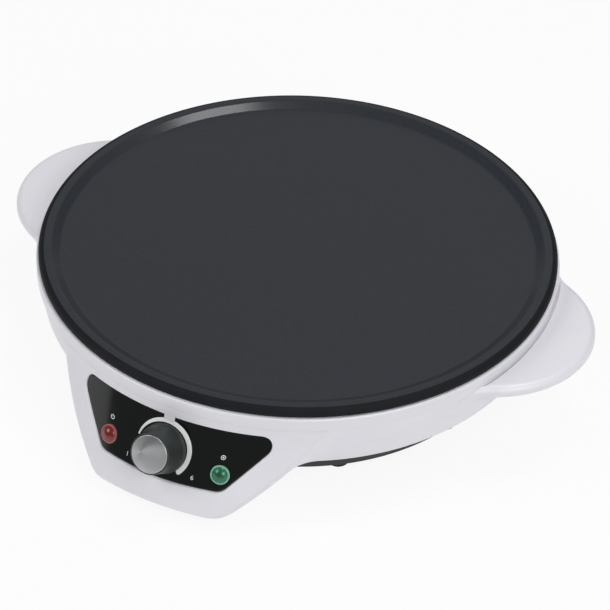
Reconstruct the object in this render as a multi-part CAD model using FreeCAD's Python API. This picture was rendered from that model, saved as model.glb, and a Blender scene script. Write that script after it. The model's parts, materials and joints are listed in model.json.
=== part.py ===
import FreeCAD, Part
import math
import os

V = FreeCAD.Vector

# Electric crepe maker, in millimetres, +Z up, control panel towards -Y.
# Every piece is worked out about the plate's axis, with the table at Z = 0. At the end all of
# them move together along Y, so that the origin lies below the middle of the whole outline.

# Whole object
height = 80.0
width_over_handles = 400.0

# Cooking plate
plate_radius = 165.0
plate_floor = 6.0
plate_core_radius = 160.0
rim_rise = 3.9
rim_foot_inset = 14.5
rim_top_inset = 8.2
rim_land_end_inset = 3.4
rim_crest_round = 3.0
rim_side = 5.2
ridge_radius = 96.0
ridge_width = 15.0
ridge_drop = 5.0
boss_diameter = 13.0

# Tubular heating element under the plate
element_diameter = 7.0
element_bend = 7.0
element_gap_angle = 15.0
pin_diameter = 2.4
bead_diameter = 8.0
bead_flange = 2.5

# Housing: ring flange, bowl, nose, handles
wall = 3.0
plate_air_gap = 0.8
ring_radius = 166.5
ring_wall = 4.0
ring_height = 9.0
ring_edge_bevel = 1.2
bowl_radius = 163.6
bowl_straight = 10.0
bowl_corner = 36.0
bowl_edge_radius = 140.0
lip_width = 16.0

# Nose: a cone about the plate's axis, closed by rounded flanks that run out into the bowl
cone_radius = 165.0
cone_height = 61.3
cone_slope = 0.48
nose_bottom = 8.3
nose_edge_ease = 1.6
nose_corner = 11.0
nose_root = 34.0
nose_flank_turn = 80.0
nose_angle_low = 11.4
nose_angle_high = 33.2
nose_toe_height = 3.0
nose_toe_angle = 1.5
ramp_back = 127.0
ramp_front = 151.0

# Handles: inverted trays that grow out of the ring
handle_radius = 65.0
handle_root = 30.0
handle_top_drop = 7.0
handle_edge_round = 4.6
handle_wall = 2.5
handle_root_land = 1.2
handle_depth_root = 6.8
handle_depth_tip = 5.6

# Control panel in the nose's window
panel_sink = 0.8
panel_gap = 0.35
panel_flange = 3.0
panel_flange_thickness = 2.0
panel_top = 59.4
panel_bottom = 24.1
panel_sag = 1.3
panel_half_width_top = 71.2
panel_half_width_bottom = 41.0
panel_corner_top = 6.5
panel_corner_bottom = 8.0
panel_sag_round = 400.0
tab_width = 7.0
tab_drop = 2.6
pad_diameter = 38.0
pad_thickness = 2.2

# Temperature knob, on an axis square to the cone
knob_height_on_nose = 40.0
knob_clearance = 0.6
knob_base_radius = 15.5
knob_base_height = 2.2
knob_foot_radius = 14.9
knob_front_radius = 12.7
knob_depth = 18.3
knob_wall = 1.8
knob_boss_radius = 5.0
knob_pointer_width = 1.6
knob_pointer_proud = 0.7
knob_pointer_angle = 210.0
cap_radius = 11.8
cap_thickness = 1.1
cap_proud = 0.35
cap_bevel = 0.45

# Thermostat behind the panel
spindle_diameter = 6.0
spindle_flat = 1.4
spindle_grip = 10.0
spindle_reach = 12.0
running_clearance = 0.05
bush_diameter = 10.0
bush_clearance = 0.3
thermostat_width = 34.0
thermostat_height = 28.0
thermostat_depth = 22.0
thermostat_corner = 3.0
screw_pitch = 20.0
small_screw_diameter = 3.0
small_head_diameter = 5.6
tab_blade_width = 6.3
tab_blade_thickness = 0.8
tab_blade_length = 8.0
tab_blade_pitch = 14.0

# Sensing bulb, its clip and its capillary
bulb_diameter = 6.0
bulb_length = 52.0
bulb_back = 42.0
clip_thickness = 0.8
clip_width = 12.0
clip_ear = 9.0
clip_screw_grip = 3.0
capillary_diameter = 2.0

# Lamps
lamp_arc = 38.6
lamp_height = 34.1
lamp_flange_radius = 6.0
lamp_flange_thickness = 1.1
lamp_flange_bevel = 0.5
lamp_dome_radius = 4.7
lamp_dome_rise = 2.2
lamp_shank_radius = 4.4
lamp_hole_clearance = 0.2
lamp_holder_radius = 5.6
lamp_holder_length = 16.0

# Heat shield
shield_thickness = 0.8
shield_below_plate = 16.0
shield_floor_radius = 138.0
shield_rim_radius = 150.0
shield_rim_rise = 9.0
shield_flange = 4.0

# Pillars and their screws
pillar_circle = 66.0
pillar_angles = {"rear": 180.0, "left": -60.0, "right": 60.0}
pillar_diameter = 10.0
plate_screw_diameter = 4.0
plate_screw_head = 8.0
plate_screw_head_height = 2.6
plate_screw_grip = 9.0
screw_clearance = 0.25

# Base cover
foot_height = 8.0
cover_floor = 2.4
cover_wall = 2.2
cover_radius_low = 135.8
cover_step = 0.5
cover_nose_gap = 0.5
cover_edge_bevel = 1.5
seat_diameter = 17.0
seat_height = 3.4
base_screw_angle = 72.0
base_screw_inset = 7.5
base_boss_diameter = 9.0
base_screw_diameter = 3.5
base_screw_head = 7.0
base_screw_head_height = 2.2
housing_boss_height = 12.0
slot_count = 24
slot_circle = 100.0
slot_length = 22.0
slot_width = 3.6

# Feet
foot_x = 78.0
foot_y = 94.0
foot_top_diameter = 17.0
foot_bottom_diameter = 14.0
foot_edge_bevel = 1.0
foot_stem_diameter = 7.0
foot_barb = 1.2
foot_barb_height = 2.5

# Cord inlet at the rear
inlet_height = 40.0
inlet_bore = 7.2
inlet_body_diameter = 12.0
inlet_flange_diameter = 16.0
inlet_flange_thickness = 2.0
inlet_pad_diameter = 20.0
inlet_pad_reach = 164.4
inlet_inner_reach = 8.0

# Terminal block and thermal fuse
block_length = 26.0
block_depth = 18.0
block_height = 14.0
block_back = 112.0
block_hole = 3.6
fuse_diameter = 4.0
fuse_length = 11.0
fuse_lead_diameter = 1.0
fuse_lead_length = 6.0
fuse_back = 30.0
fuse_clip_width = 6.0

# Heights and places that follow from the sizes above
rim_top = height
cook_z = rim_top - rim_rise
plate_under = cook_z - plate_floor
ring_top = rim_top - rim_side - plate_air_gap
ring_bottom = ring_top - ring_height
corner_z = ring_bottom - bowl_straight
corner_r = bowl_radius - bowl_corner
edge_angle = math.acos((bowl_edge_radius - corner_r) / bowl_corner)
bowl_edge_z = corner_z - bowl_corner * math.sin(edge_angle)
lip_top = bowl_edge_z + wall
tilt = math.degrees(math.atan(cone_slope))
cover_z = foot_height
cover_floor_top = cover_z + cover_floor
handle_top = ring_top - handle_top_drop
handle_centre = width_over_handles / 2 - handle_radius
ridge_bottom = plate_under - ridge_drop
element_z = ridge_bottom + element_diameter * 0.15
shield_top = plate_under - shield_below_plate
shield_under = shield_top - shield_thickness
seat_top = cover_floor_top + seat_height


def polar(radius, angle, z):
    """Point at an angle in degrees from the nose's direction, positive towards +X."""
    turn = math.radians(angle)
    return V(radius * math.sin(turn), -radius * math.cos(turn), z)


def closed_face(steps, place):
    """Flat face. A step of two numbers is a line to that point, one of four is an arc
    through the first point to the second. place turns two numbers into a point."""
    here = place(*steps[0])
    edges = []
    for step in steps[1:] + [steps[0]]:
        end = place(*step[-2:])
        if len(step) == 4:
            edges.append(Part.Arc(here, place(*step[:2]), end).toShape())
        elif here.distanceToPoint(end) > 1e-6:
            edges.append(Part.makeLine(here, end))
        here = end
    return Part.Face(Part.Wire(edges))


def in_section(r, z):
    return V(r, 0, z)


def in_side_view(y, z):
    return V(0, y, z)


def in_front_view(x, z):
    return V(x, 0, z)


def turned(steps, angle=360.0, start=0.0):
    """Solid of revolution about Z from a half section given as radius and height."""
    face = closed_face(steps, in_section)
    face.rotate(V(0, 0, 0), V(0, 0, 1), start)
    return face.revolve(V(0, 0, 0), V(0, 0, 1), angle)


def disc(radius, low, high, x=0.0, y=0.0):
    return Part.makeCylinder(radius, high - low, V(x, y, low))


def joined(shapes):
    """One solid made of overlapping or touching shapes, without the seams between them."""
    whole = shapes[0]
    for shape in shapes[1:]:
        whole = whole.fuse(shape)
    return whole.removeSplitter()


def clean_solid(shape):
    """The single solid inside a result."""
    shape = shape.removeSplitter()
    return shape.Solids[0] if len(shape.Solids) == 1 else shape


def tube(points, diameter, bend):
    """Round bar along straight runs that are joined by tangent arcs of one radius."""
    edges = []
    here = points[0]
    for before, corner, after in zip(points, points[1:], points[2:]):
        back = (before - corner).normalize()
        on = (after - corner).normalize()
        half = back.getAngle(on) / 2
        start = corner + back * (bend / math.tan(half))
        end = corner + on * (bend / math.tan(half))
        inward = (back + on).normalize()
        middle = corner + inward * (bend / math.sin(half) - bend)
        edges.append(Part.makeLine(here, start))
        edges.append(Part.Arc(start, middle, end).toShape())
        here = end
    edges.append(Part.makeLine(here, points[-1]))
    path = Part.Wire(edges)
    first = (points[1] - points[0]).normalize()
    ring = Part.Wire(Part.makeCircle(diameter / 2, points[0], first))
    return path.makePipeShell([ring], True, False)


def cone_at(z):
    """Radius of the nose's cone at a height."""
    return cone_radius + cone_slope * (cone_height - z)


def on_panel(shape, height_on_nose, angle=0.0, sink=None):
    """Move a shape from its own frame, with +Z outward, onto the panel's front surface."""
    depth = panel_sink if sink is None else sink
    radius = cone_at(height_on_nose) - depth / math.cos(math.radians(tilt))
    lean = FreeCAD.Rotation(V(1, 0, 0), 90 - tilt)
    around = FreeCAD.Rotation(V(0, 0, 1), angle)
    moved = shape.copy()
    moved.Placement = FreeCAD.Placement(polar(radius, angle, height_on_nose), around.multiply(lean))
    return moved


def edge_height(inset):
    """Height at which the bowl's lower corner ends, on a surface inset from the outer one."""
    return corner_z - (bowl_corner - inset) * math.sin(edge_angle)


def bowl_at(z, inset):
    """Radius of the round bowl, and of the base cover below it."""
    if z >= corner_z:
        return bowl_radius - inset
    edge_z = edge_height(inset)
    edge_r = corner_r + (bowl_corner - inset) * math.cos(edge_angle)
    if z >= edge_z:
        return corner_r + math.sqrt((bowl_corner - inset) ** 2 - (corner_z - z) ** 2)
    low_r = cover_radius_low - inset
    share = (z - cover_z) / (edge_z - cover_z)
    return low_r + share * (edge_r - low_r)


def nose_at(z, inset):
    """Radius of the nose's front: the cone, and the ring's radius above it."""
    return max(ring_radius, cone_at(z)) - inset


def nose_angle_at(z):
    """Angle from the nose's middle to the centre of its corner. The sides lean outward to the
    top, and a quarter ellipse rounds the toe."""
    share = (z - nose_bottom) / (ring_bottom - nose_bottom)
    angle = nose_angle_low + share * (nose_angle_high - nose_angle_low)
    toe = min(1.0, max(0.0, 1 - (z - nose_bottom) / nose_toe_height))
    return angle - nose_toe_angle * (1 - math.sqrt(1 - toe * toe))


def arc_about(centre, start, end):
    """Arc of less than half a turn about a centre."""
    radius = start.distanceToPoint(centre)
    middle = centre + ((start - centre) + (end - centre)).normalize() * radius
    return Part.Arc(start, middle, end).toShape()


def level_outline(z, inset, ease=0.0):
    """Outline of bowl and nose at one height: front arc, two corners, two hollow roots that
    meet the bowl tangentially, and the bowl's arc round the back."""
    nose_r = nose_at(z, 0.0)
    bowl_r = bowl_at(z, inset)
    proud = nose_r - bowl_at(z, 0.0)
    turn = 1 - math.cos(math.radians(nose_flank_turn))
    root = max(nose_root, proud / turn - nose_corner) + inset
    corner = nose_corner - inset - ease
    middle_r = nose_r - nose_corner
    angle = nose_angle_at(z)
    reach = bowl_r + root
    apart = corner + root
    cosine = (middle_r ** 2 + reach ** 2 - apart ** 2) / (2 * middle_r * reach)
    root_angle = angle + math.degrees(math.acos(cosine))
    front_end = polar(nose_r - inset - ease, angle, z)
    corner_centre = polar(middle_r, angle, z)
    root_centre = polar(reach, root_angle, z)
    joint = corner_centre + (root_centre - corner_centre) * (corner / apart)
    bowl_start = polar(bowl_r, root_angle, z)
    side = polar(bowl_r, (root_angle + 180) / 2, z)
    back = polar(bowl_r, 180, z)

    def mirrored(point):
        return V(-point.x, point.y, point.z)

    right = [arc_about(corner_centre, front_end, joint), arc_about(root_centre, joint, bowl_start)]
    right.append(Part.Arc(bowl_start, side, back).toShape())
    left = [Part.Arc(back, mirrored(side), mirrored(bowl_start)).toShape()]
    left.append(arc_about(mirrored(root_centre), mirrored(bowl_start), mirrored(joint)))
    left.append(arc_about(mirrored(corner_centre), mirrored(joint), mirrored(front_end)))
    front = Part.Arc(mirrored(front_end), polar(nose_r - inset - ease, 0, z), front_end).toShape()
    return Part.Wire(right + left + [front])


def between(low, high, count):
    """Evenly spaced heights, ends included."""
    return [low + (high - low) * step / count for step in range(count + 1)]


def bowl_and_nose(inset, low, ease=0.0):
    """Solid of bowl and nose from a low level up to the ring's underside. ease rounds the
    bottom edge by drawing its first levels in."""
    edge_z = edge_height(inset)
    corner_steps = 5
    angles = between(edge_angle, 0.0, corner_steps)
    upper = [corner_z - (bowl_corner - inset) * math.sin(angle) for angle in angles]
    upper.append(ring_bottom)
    start = low + ease
    lower = between(start, edge_z, 4)
    parts = [Part.makeLoft([level_outline(z, inset) for z in upper], True, False)]
    parts.append(Part.makeLoft([level_outline(z, inset) for z in lower], True, False))
    if ease > 0:
        edge = [level_outline(low, inset, ease), level_outline(low + ease * 0.3, inset, ease * 0.3)]
        edge.append(level_outline(start, inset))
        parts.append(Part.makeLoft(edge, True, True))
    return joined(parts)


def handle_outline(inset):
    """Plan of one handle about X: round tip, and hollow roots tangent to the ring."""
    tip_r = handle_radius - inset
    root_r = handle_root + inset
    reach = ring_radius + handle_root
    apart = handle_radius + handle_root
    root_x = (reach ** 2 - apart ** 2 + handle_centre ** 2) / (2 * handle_centre)
    root_y = math.sqrt(reach ** 2 - root_x ** 2)
    centre = V(handle_centre, 0, 0)
    root = V(root_x, root_y, 0)
    root_low = V(root_x, -root_y, 0)
    joint = centre + (root - centre).normalize() * tip_r
    joint_low = V(joint.x, -joint.y, 0)
    start = root - (root - V(0, 0, 0)).normalize() * root_r
    start_low = V(start.x, -start.y, 0)
    inner = V(corner_r, start.y, 0)
    inner_low = V(corner_r, -start.y, 0)
    edges = [arc_about(root, start, joint)]
    edges.append(Part.Arc(joint, V(handle_centre + tip_r, 0, 0), joint_low).toShape())
    edges.append(arc_about(root_low, joint_low, start_low))
    edges.append(Part.makeLine(start_low, inner_low))
    edges.append(Part.makeLine(inner_low, inner))
    edges.append(Part.makeLine(inner, start))
    return Part.Face(Part.Wire(edges))


def handle_solid():
    """Right handle before its tray is hollowed: rounded top edge, underside rising to the tip."""
    low = handle_top - handle_depth_root
    deep = 2 * handle_depth_root
    plan = handle_outline(0.0)
    plan.translate(V(0, 0, handle_top - deep))
    block = plan.extrude(V(0, 0, deep))
    rounded = []
    for edge in block.Edges:
        box = edge.BoundBox
        flat_top = box.ZMin > handle_top - 1e-3
        if flat_top and edge.Curve.TypeId == "Part::GeomCircle":
            rounded.append(edge)
    block = block.makeFillet(handle_edge_round, rounded)
    tip = width_over_handles / 2
    slope = (handle_depth_root - handle_depth_tip) / (tip - bowl_radius)
    inner_z = low - slope * (bowl_radius - corner_r + 1)
    outer_z = low + slope * (tip + 1 - bowl_radius)
    base = handle_top - deep - 1
    wedge = [(corner_r - 1, base), (tip + 1, base), (tip + 1, outer_z), (corner_r - 1, inner_z)]
    under = closed_face(wedge, in_front_view)
    under.translate(V(0, -width_over_handles / 2, 0))
    return block.cut(under.extrude(V(0, width_over_handles, 0)))


def handle_tray():
    """Finger recess under the right handle, up against the bowl's outer wall."""
    low = handle_top - handle_depth_root - 1
    plan = handle_outline(handle_wall)
    plan.translate(V(0, 0, low))
    block = plan.extrude(V(0, 0, handle_top - handle_wall - low))
    return block.cut(disc(bowl_radius + handle_root_land, low - 1, ring_top))


def mirror_x(shape):
    return shape.mirror(V(0, 0, 0), V(1, 0, 0))


def panel_outline():
    """Front view of the panel: trapezium with rounded corners and a slightly sagging foot."""
    points = [V(-panel_half_width_top, 0, panel_top), V(panel_half_width_top, 0, panel_top)]
    points.append(V(panel_half_width_bottom, 0, panel_bottom))
    points.append(V(0, 0, panel_bottom - panel_sag))
    points.append(V(-panel_half_width_bottom, 0, panel_bottom))
    radii = [panel_corner_top, panel_corner_top]
    radii += [panel_corner_bottom, panel_sag_round, panel_corner_bottom]
    starts = []
    edges = []
    for index, corner in enumerate(points):
        before = points[index - 1]
        after = points[(index + 1) % len(points)]
        back = (before - corner).normalize()
        on = (after - corner).normalize()
        half = back.getAngle(on) / 2
        length = radii[index] / math.tan(half)
        middle = corner + (back + on).normalize() * (radii[index] / math.sin(half) - radii[index])
        starts.append((corner + back * length, middle, corner + on * length))
    for index, (start, middle, end) in enumerate(starts):
        edges.append(Part.Arc(start, middle, end).toShape())
        edges.append(Part.makeLine(end, starts[(index + 1) % len(starts)][0]))
    return Part.Face(Part.Wire(edges))


def panel_prism(grow, notch_gap):
    """Prism of the panel's outline towards the front, less the notch for the housing's tab."""
    face = panel_outline()
    if grow:
        face = face.makeOffset2D(grow)
    prism = face.extrude(V(0, -2 * plate_radius, 0))
    half = tab_width / 2 + notch_gap
    low = panel_top - tab_drop - notch_gap
    notch = Part.makeBox(2 * half, 2 * plate_radius, tab_drop + panel_flange + grow + notch_gap + 1)
    notch.translate(V(-half, -2 * plate_radius, low))
    return prism.cut(notch)


def cone_shell(outer_sink, inner_sink):
    """Part of a cone's wall behind the nose's surface, between two depths square to it."""
    stretch = 1 / math.cos(math.radians(tilt))
    low = cover_z
    high = ring_bottom
    steps = [(cone_at(low) - outer_sink * stretch, low), (cone_at(high) - outer_sink * stretch, high)]
    steps.append((cone_at(high) - inner_sink * stretch, high))
    steps.append((cone_at(low) - inner_sink * stretch, low))
    half = nose_angle_high
    return turned(steps, 2 * half, -90 - half)


def cooking_plate():
    """Cast plate: dished top with a rounded rim, a channel for the element and screw bosses."""
    foot = plate_radius - rim_foot_inset
    crest = plate_radius - rim_top_inset
    land = plate_radius - rim_land_end_inset
    side_low = rim_top - rim_side
    fall = rim_land_end_inset
    round_mid = fall * math.sqrt(0.5)
    slope = math.atan2(rim_rise, crest - foot)
    bend = rim_crest_round * math.tan(slope / 2)
    sag = rim_crest_round * (1 - math.cos(slope / 2))
    half_run = rim_crest_round * math.sin(slope / 2)
    crest_start = (crest - bend * math.cos(slope), rim_top - bend * math.sin(slope))
    steps = [(0, plate_under), (0, cook_z), (foot, cook_z), crest_start]
    steps.append((crest + bend - half_run, rim_top - sag, crest + bend, rim_top))
    steps.append((land, rim_top))
    steps.append((land + round_mid, rim_top - fall + round_mid, plate_radius, rim_top - fall))
    steps += [(plate_radius, side_low), (plate_core_radius, side_low)]
    steps.append((plate_core_radius, plate_under))
    body = turned(steps)
    start = element_gap_angle - 90
    sweep = 360 - 2 * element_gap_angle
    half = ridge_width / 2
    ridge = [(ridge_radius - half, plate_under), (ridge_radius - half + 1.5, ridge_bottom)]
    ridge += [(ridge_radius + half - 1.5, ridge_bottom), (ridge_radius + half, plate_under)]
    ridge.append((ridge_radius + half, plate_under + 1))
    ridge.append((ridge_radius - half, plate_under + 1))
    shapes = [body, turned(ridge, sweep, start)]
    for angle in pillar_angles.values():
        centre = polar(pillar_circle, angle, 0)
        shapes.append(disc(boss_diameter / 2, shield_top, plate_under + 1, centre.x, centre.y))
    casting = joined(shapes)
    r = element_diameter / 2
    groove = [(ridge_radius - r, ridge_bottom - 1), (ridge_radius - r, element_z)]
    groove.append((ridge_radius, element_z + r, ridge_radius + r, element_z))
    groove.append((ridge_radius + r, ridge_bottom - 1))
    casting = casting.cut(turned(groove, sweep, start))
    for angle in pillar_angles.values():
        centre = polar(pillar_circle, angle, 0)
        hole_top = shield_top + plate_screw_grip
        hole = disc(plate_screw_diameter / 2, shield_top - 1, hole_top, centre.x, centre.y)
        casting = casting.cut(hole)
    for place in bulb_clip_places():
        tapped = disc(small_screw_diameter / 2, plate_under - 1, plate_under + clip_screw_grip, place.x, place.y)
        casting = casting.cut(tapped)
    return clean_solid(casting)


def element_end(side):
    """Where the element leaves its channel: the arc's end, the bend's centre and the pin."""
    angle = math.radians(element_gap_angle)
    start = V(side * ridge_radius * math.sin(angle), -ridge_radius * math.cos(angle), element_z)
    on = V(-side * math.cos(angle), -math.sin(angle), 0)
    return start, on


def element_pin_point(side):
    start, on = element_end(side)
    return start + on * element_bend


def heating_element():
    """Tube round the plate, with both ends bent down and a thin pin in each."""
    r = element_diameter / 2
    ring_face = Part.Face(Part.Wire(Part.makeCircle(r, V(ridge_radius, 0, element_z), V(0, 1, 0))))
    ring_face.rotate(V(0, 0, 0), V(0, 0, 1), element_gap_angle - 90)
    shapes = [ring_face.revolve(V(0, 0, 0), V(0, 0, 1), 360 - 2 * element_gap_angle)]
    for side in (-1, 1):
        start, on = element_end(side)
        bend_face = Part.Face(Part.Wire(Part.makeCircle(r, start, on)))
        pivot = start - V(0, 0, element_bend)
        axis = on.cross(V(0, 0, -1))
        bend = bend_face.revolve(pivot, axis, 90)
        pin = element_pin_point(side)
        tube_end = shield_top + bead_flange
        low_z = element_z - element_bend
        shapes += [bend, disc(r, tube_end, low_z, pin.x, pin.y)]
        pin_low = shield_under - 3 * bead_flange
        shapes.append(disc(pin_diameter / 2, pin_low, tube_end, pin.x, pin.y))
    return clean_solid(joined(shapes))


def element_bead(side):
    """Ceramic bead that carries a pin through the shield: flange above, sleeve through it."""
    pin = element_pin_point(side)
    bore = pin_diameter / 2
    sleeve = bead_diameter / 2
    flange = sleeve + 1.5
    steps = [(bore, shield_under - bead_flange), (bore, shield_top + bead_flange)]
    steps += [(flange, shield_top + bead_flange), (flange, shield_top), (sleeve, shield_top)]
    steps.append((sleeve, shield_under - bead_flange))
    bead = turned(steps)
    bead.translate(V(pin.x, pin.y, 0))
    return bead


def capillary_points():
    """Route of the capillary: from the thermostat's back, up through the shield, to the bulb."""
    axis_in = V(0, math.cos(math.radians(tilt)), -math.sin(math.radians(tilt)))
    depth = panel_flange_depth() + pad_thickness + thermostat_depth
    radius = cone_at(knob_height_on_nose) - panel_sink / math.cos(math.radians(tilt))
    start = V(thermostat_width * 0.3, -radius, knob_height_on_nose) + axis_in * depth
    start = start + V(0, math.sin(math.radians(tilt)), math.cos(math.radians(tilt))) * 6
    leave = start + axis_in * 9
    hole = capillary_hole()
    bulb_end = V(bulb_length / 2, -bulb_back, plate_under - bulb_diameter / 2)
    rise = V(hole.x, hole.y, leave.z + 8)
    over = V(hole.x, hole.y, bulb_end.z)
    before = V(hole.x, -bulb_back, bulb_end.z)
    return [start, leave, rise, over, before, bulb_end]


def capillary_hole():
    """Where the capillary passes the shield."""
    return V(bulb_length / 2 + 12, -bulb_back - 24, shield_top)


def panel_flange_depth():
    """Depth of the panel's rear face below its front face."""
    return wall + panel_gap + panel_flange_thickness - panel_sink


def capillary_tube():
    return tube(capillary_points(), capillary_diameter, 4.0)


def sensing_bulb():
    """Sealed bulb with tapered ends, held against the plate's underside."""
    r = bulb_diameter / 2
    low = V(-bulb_length / 2, -bulb_back, plate_under - r)
    bulb = Part.makeCylinder(r, bulb_length, low, V(1, 0, 0))
    return bulb.makeChamfer(r * 0.4, [edge for edge in bulb.Edges if edge.Closed])


def bulb_clip():
    """Saddle strap over the bulb, with an ear on each side against the plate."""
    r = bulb_diameter / 2
    out = r + clip_thickness
    top = plate_under
    mid_z = top - r
    inner = [(-r, top), (-r, mid_z), (0, mid_z - r, r, mid_z), (r, top), (out + clip_ear, top)]
    outer = [(out + clip_ear, top - clip_thickness), (out, top - clip_thickness), (out, mid_z)]
    outer.append((0, mid_z - out, -out, mid_z))
    outer += [(-out, top - clip_thickness), (-out - clip_ear, top - clip_thickness)]
    outer.append((-out - clip_ear, top))
    strap = closed_face(inner + outer, in_side_view).extrude(V(clip_width, 0, 0))
    strap.translate(V(-clip_width / 2, -bulb_back, 0))
    return clean_solid(strap.cut(bulb_clip_holes()))


def bulb_clip_places():
    reach = bulb_diameter / 2 + clip_thickness + clip_ear / 2
    return [V(0, -bulb_back - reach, 0), V(0, -bulb_back + reach, 0)]


def bulb_clip_holes():
    low = plate_under - clip_thickness - 1
    holes = [disc(small_screw_diameter / 2, low, plate_under + 1, p.x, p.y) for p in bulb_clip_places()]
    return Part.makeCompound(holes)


def round_head_screw(shank, head, head_height, length):
    """Screw along +Z from the underside of its head, which is at Z = 0 and points down."""
    r = head / 2
    steps = [(0, -head_height), (r * 0.6, -head_height), (r, -head_height * 0.4), (r, 0)]
    steps += [(shank / 2, 0), (shank / 2, length - shank / 3), (shank / 6, length), (0, length)]
    return turned(steps)


def bulb_clip_screws():
    """Two screws that hold the clip's ears to the plate."""
    screws = []
    length = clip_thickness + clip_screw_grip
    for place in bulb_clip_places():
        screw = round_head_screw(small_screw_diameter, small_head_diameter, 2.0, length)
        screw.translate(V(place.x, place.y, plate_under - clip_thickness))
        screws.append(screw)
    return Part.makeCompound(screws)


def heat_shield():
    """Pressed steel pan with an upturned side and a flat rim, with the holes it needs."""
    t = shield_thickness
    rim_z = shield_top + shield_rim_rise
    floor_r = shield_floor_radius
    rim_r = shield_rim_radius
    lean = math.hypot(rim_r - floor_r, shield_rim_rise) / shield_rim_rise * t
    steps = [(0, shield_under), (floor_r, shield_under), (rim_r, rim_z - t), (rim_r + shield_flange, rim_z - t)]
    steps += [(rim_r + shield_flange, rim_z), (rim_r - lean * 0.5, rim_z), (floor_r - lean * 0.5, shield_top)]
    steps.append((0, shield_top))
    pan = turned(steps)
    low = shield_under - 1
    high = shield_top + 1
    holes = []
    for angle in pillar_angles.values():
        centre = polar(pillar_circle, angle, 0)
        holes.append(disc(plate_screw_diameter / 2 + screw_clearance, low, high, centre.x, centre.y))
    for side in (-1, 1):
        pin = element_pin_point(side)
        holes.append(disc(bead_diameter / 2, low, high, pin.x, pin.y))
    hole = capillary_hole()
    holes.append(disc(capillary_diameter, low, high, hole.x, hole.y))
    return clean_solid(pan.cut(Part.makeCompound(holes)))


def pillar(angle):
    """Steel spacer tube from the base cover's seat to the shield."""
    bore = plate_screw_diameter / 2 + screw_clearance
    steps = [(bore, seat_top), (pillar_diameter / 2, seat_top), (pillar_diameter / 2, shield_under)]
    steps.append((bore, shield_under))
    spacer = turned(steps)
    centre = polar(pillar_circle, angle, 0)
    spacer.translate(V(centre.x, centre.y, 0))
    return spacer


def plate_screws():
    """Long screws through cover, pillars and shield into the plate's bosses."""
    screws = []
    head_z = cover_z + seat_height
    for angle in pillar_angles.values():
        centre = polar(pillar_circle, angle, 0)
        length = shield_top + plate_screw_grip - head_z
        screw = round_head_screw(plate_screw_diameter, plate_screw_head, plate_screw_head_height, length)
        screw.translate(V(centre.x, centre.y, head_z))
        screws.append(screw)
    return Part.makeCompound(screws)


def base_screw_places():
    """Four places on the lip, clear of the feet."""
    circle = bowl_edge_radius - base_screw_inset
    angles = (base_screw_angle, 180 - base_screw_angle, base_screw_angle - 180, -base_screw_angle)
    return [polar(circle, angle, 0) for angle in angles]


def front_ramp():
    """Everything below the housing's lower edge: level round the bowl, and dropping to the
    table side along the nose's flanks in one soft S."""
    back = 2 * plate_radius
    mid = (ramp_back + ramp_front) / 2
    low = foot_height - 3
    start = in_side_view(-ramp_back, bowl_edge_z)
    end = in_side_view(-ramp_front, nose_bottom)
    curve = Part.BezierCurve()
    curve.setPoles([start, in_side_view(-mid, bowl_edge_z), in_side_view(-mid, nose_bottom), end])
    edges = [Part.makeLine(in_side_view(back, bowl_edge_z), start), curve.toShape()]
    corners = [end, in_side_view(-ramp_front, low), in_side_view(back, low)]
    corners.append(in_side_view(back, bowl_edge_z))
    edges += [Part.makeLine(a, b) for a, b in zip(corners, corners[1:])]
    face = Part.Face(Part.Wire(edges))
    face.translate(V(-width_over_handles, 0, 0))
    return face.extrude(V(2 * width_over_handles, 0, 0))


def ring_solid():
    """Ring flange under the plate, with bevelled outer edges."""
    e = ring_edge_bevel
    steps = [(corner_r, ring_bottom), (ring_radius - e, ring_bottom), (ring_radius, ring_bottom + e)]
    steps += [(ring_radius, ring_top - e), (ring_radius - e, ring_top), (corner_r, ring_top)]
    return turned(steps)


def housing():
    """White moulding: ring, bowl, nose and handles in one, hollow, with an inner lip that
    takes the base screws, a window for the panel and a rear pad for the cord inlet."""
    outer = bowl_and_nose(0.0, nose_bottom, nose_edge_ease)
    outer = outer.fuse(ring_solid())
    right = handle_solid()
    outer = outer.fuse([right, mirror_x(right)])
    pad_low = V(0, bowl_radius - inlet_pad_diameter, inlet_height)
    pad = Part.makeCylinder(inlet_pad_diameter / 2, inlet_pad_reach - pad_low.y, pad_low, V(0, 1, 0))
    outer = outer.fuse(pad)
    inner = bowl_and_nose(wall, nose_bottom - 1)
    lip = turned([(corner_r - 60, bowl_edge_z - 1), (bowl_edge_radius + 1, bowl_edge_z - 1),
                  (bowl_edge_radius + 1, lip_top), (corner_r - 60, lip_top)])
    inner = inner.cut(lip)
    lip_hole = disc(bowl_edge_radius - lip_width, bowl_edge_z - 2, lip_top + 1)
    ring_hole = disc(ring_radius - ring_wall, ring_bottom - 1, ring_top + 1)
    shell = outer.cut([inner, lip_hole, ring_hole, front_ramp()])
    tray = handle_tray()
    shell = shell.cut([tray, mirror_x(tray)])
    shell = shell.cut(panel_prism(panel_gap, 0.0).common(cone_shell(-8.0, wall + 3.0)))
    hole = Part.makeCylinder(inlet_body_diameter / 2, 2 * inlet_pad_diameter, pad_low, V(0, 1, 0))
    shell = shell.cut(hole)
    for place in base_screw_places():
        boss = disc(base_boss_diameter / 2, lip_top - 1, lip_top + housing_boss_height, place.x, place.y)
        shell = shell.fuse(boss)
    for place in base_screw_places():
        hole = disc(base_screw_diameter / 2, 0, lip_top + housing_boss_height - 2, place.x, place.y)
        shell = shell.cut(hole)
    return clean_solid(shell)


def foot_places():
    return {"front_left": (-foot_x, -foot_y), "front_right": (foot_x, -foot_y),
            "rear_left": (-foot_x, foot_y), "rear_right": (foot_x, foot_y)}


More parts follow.
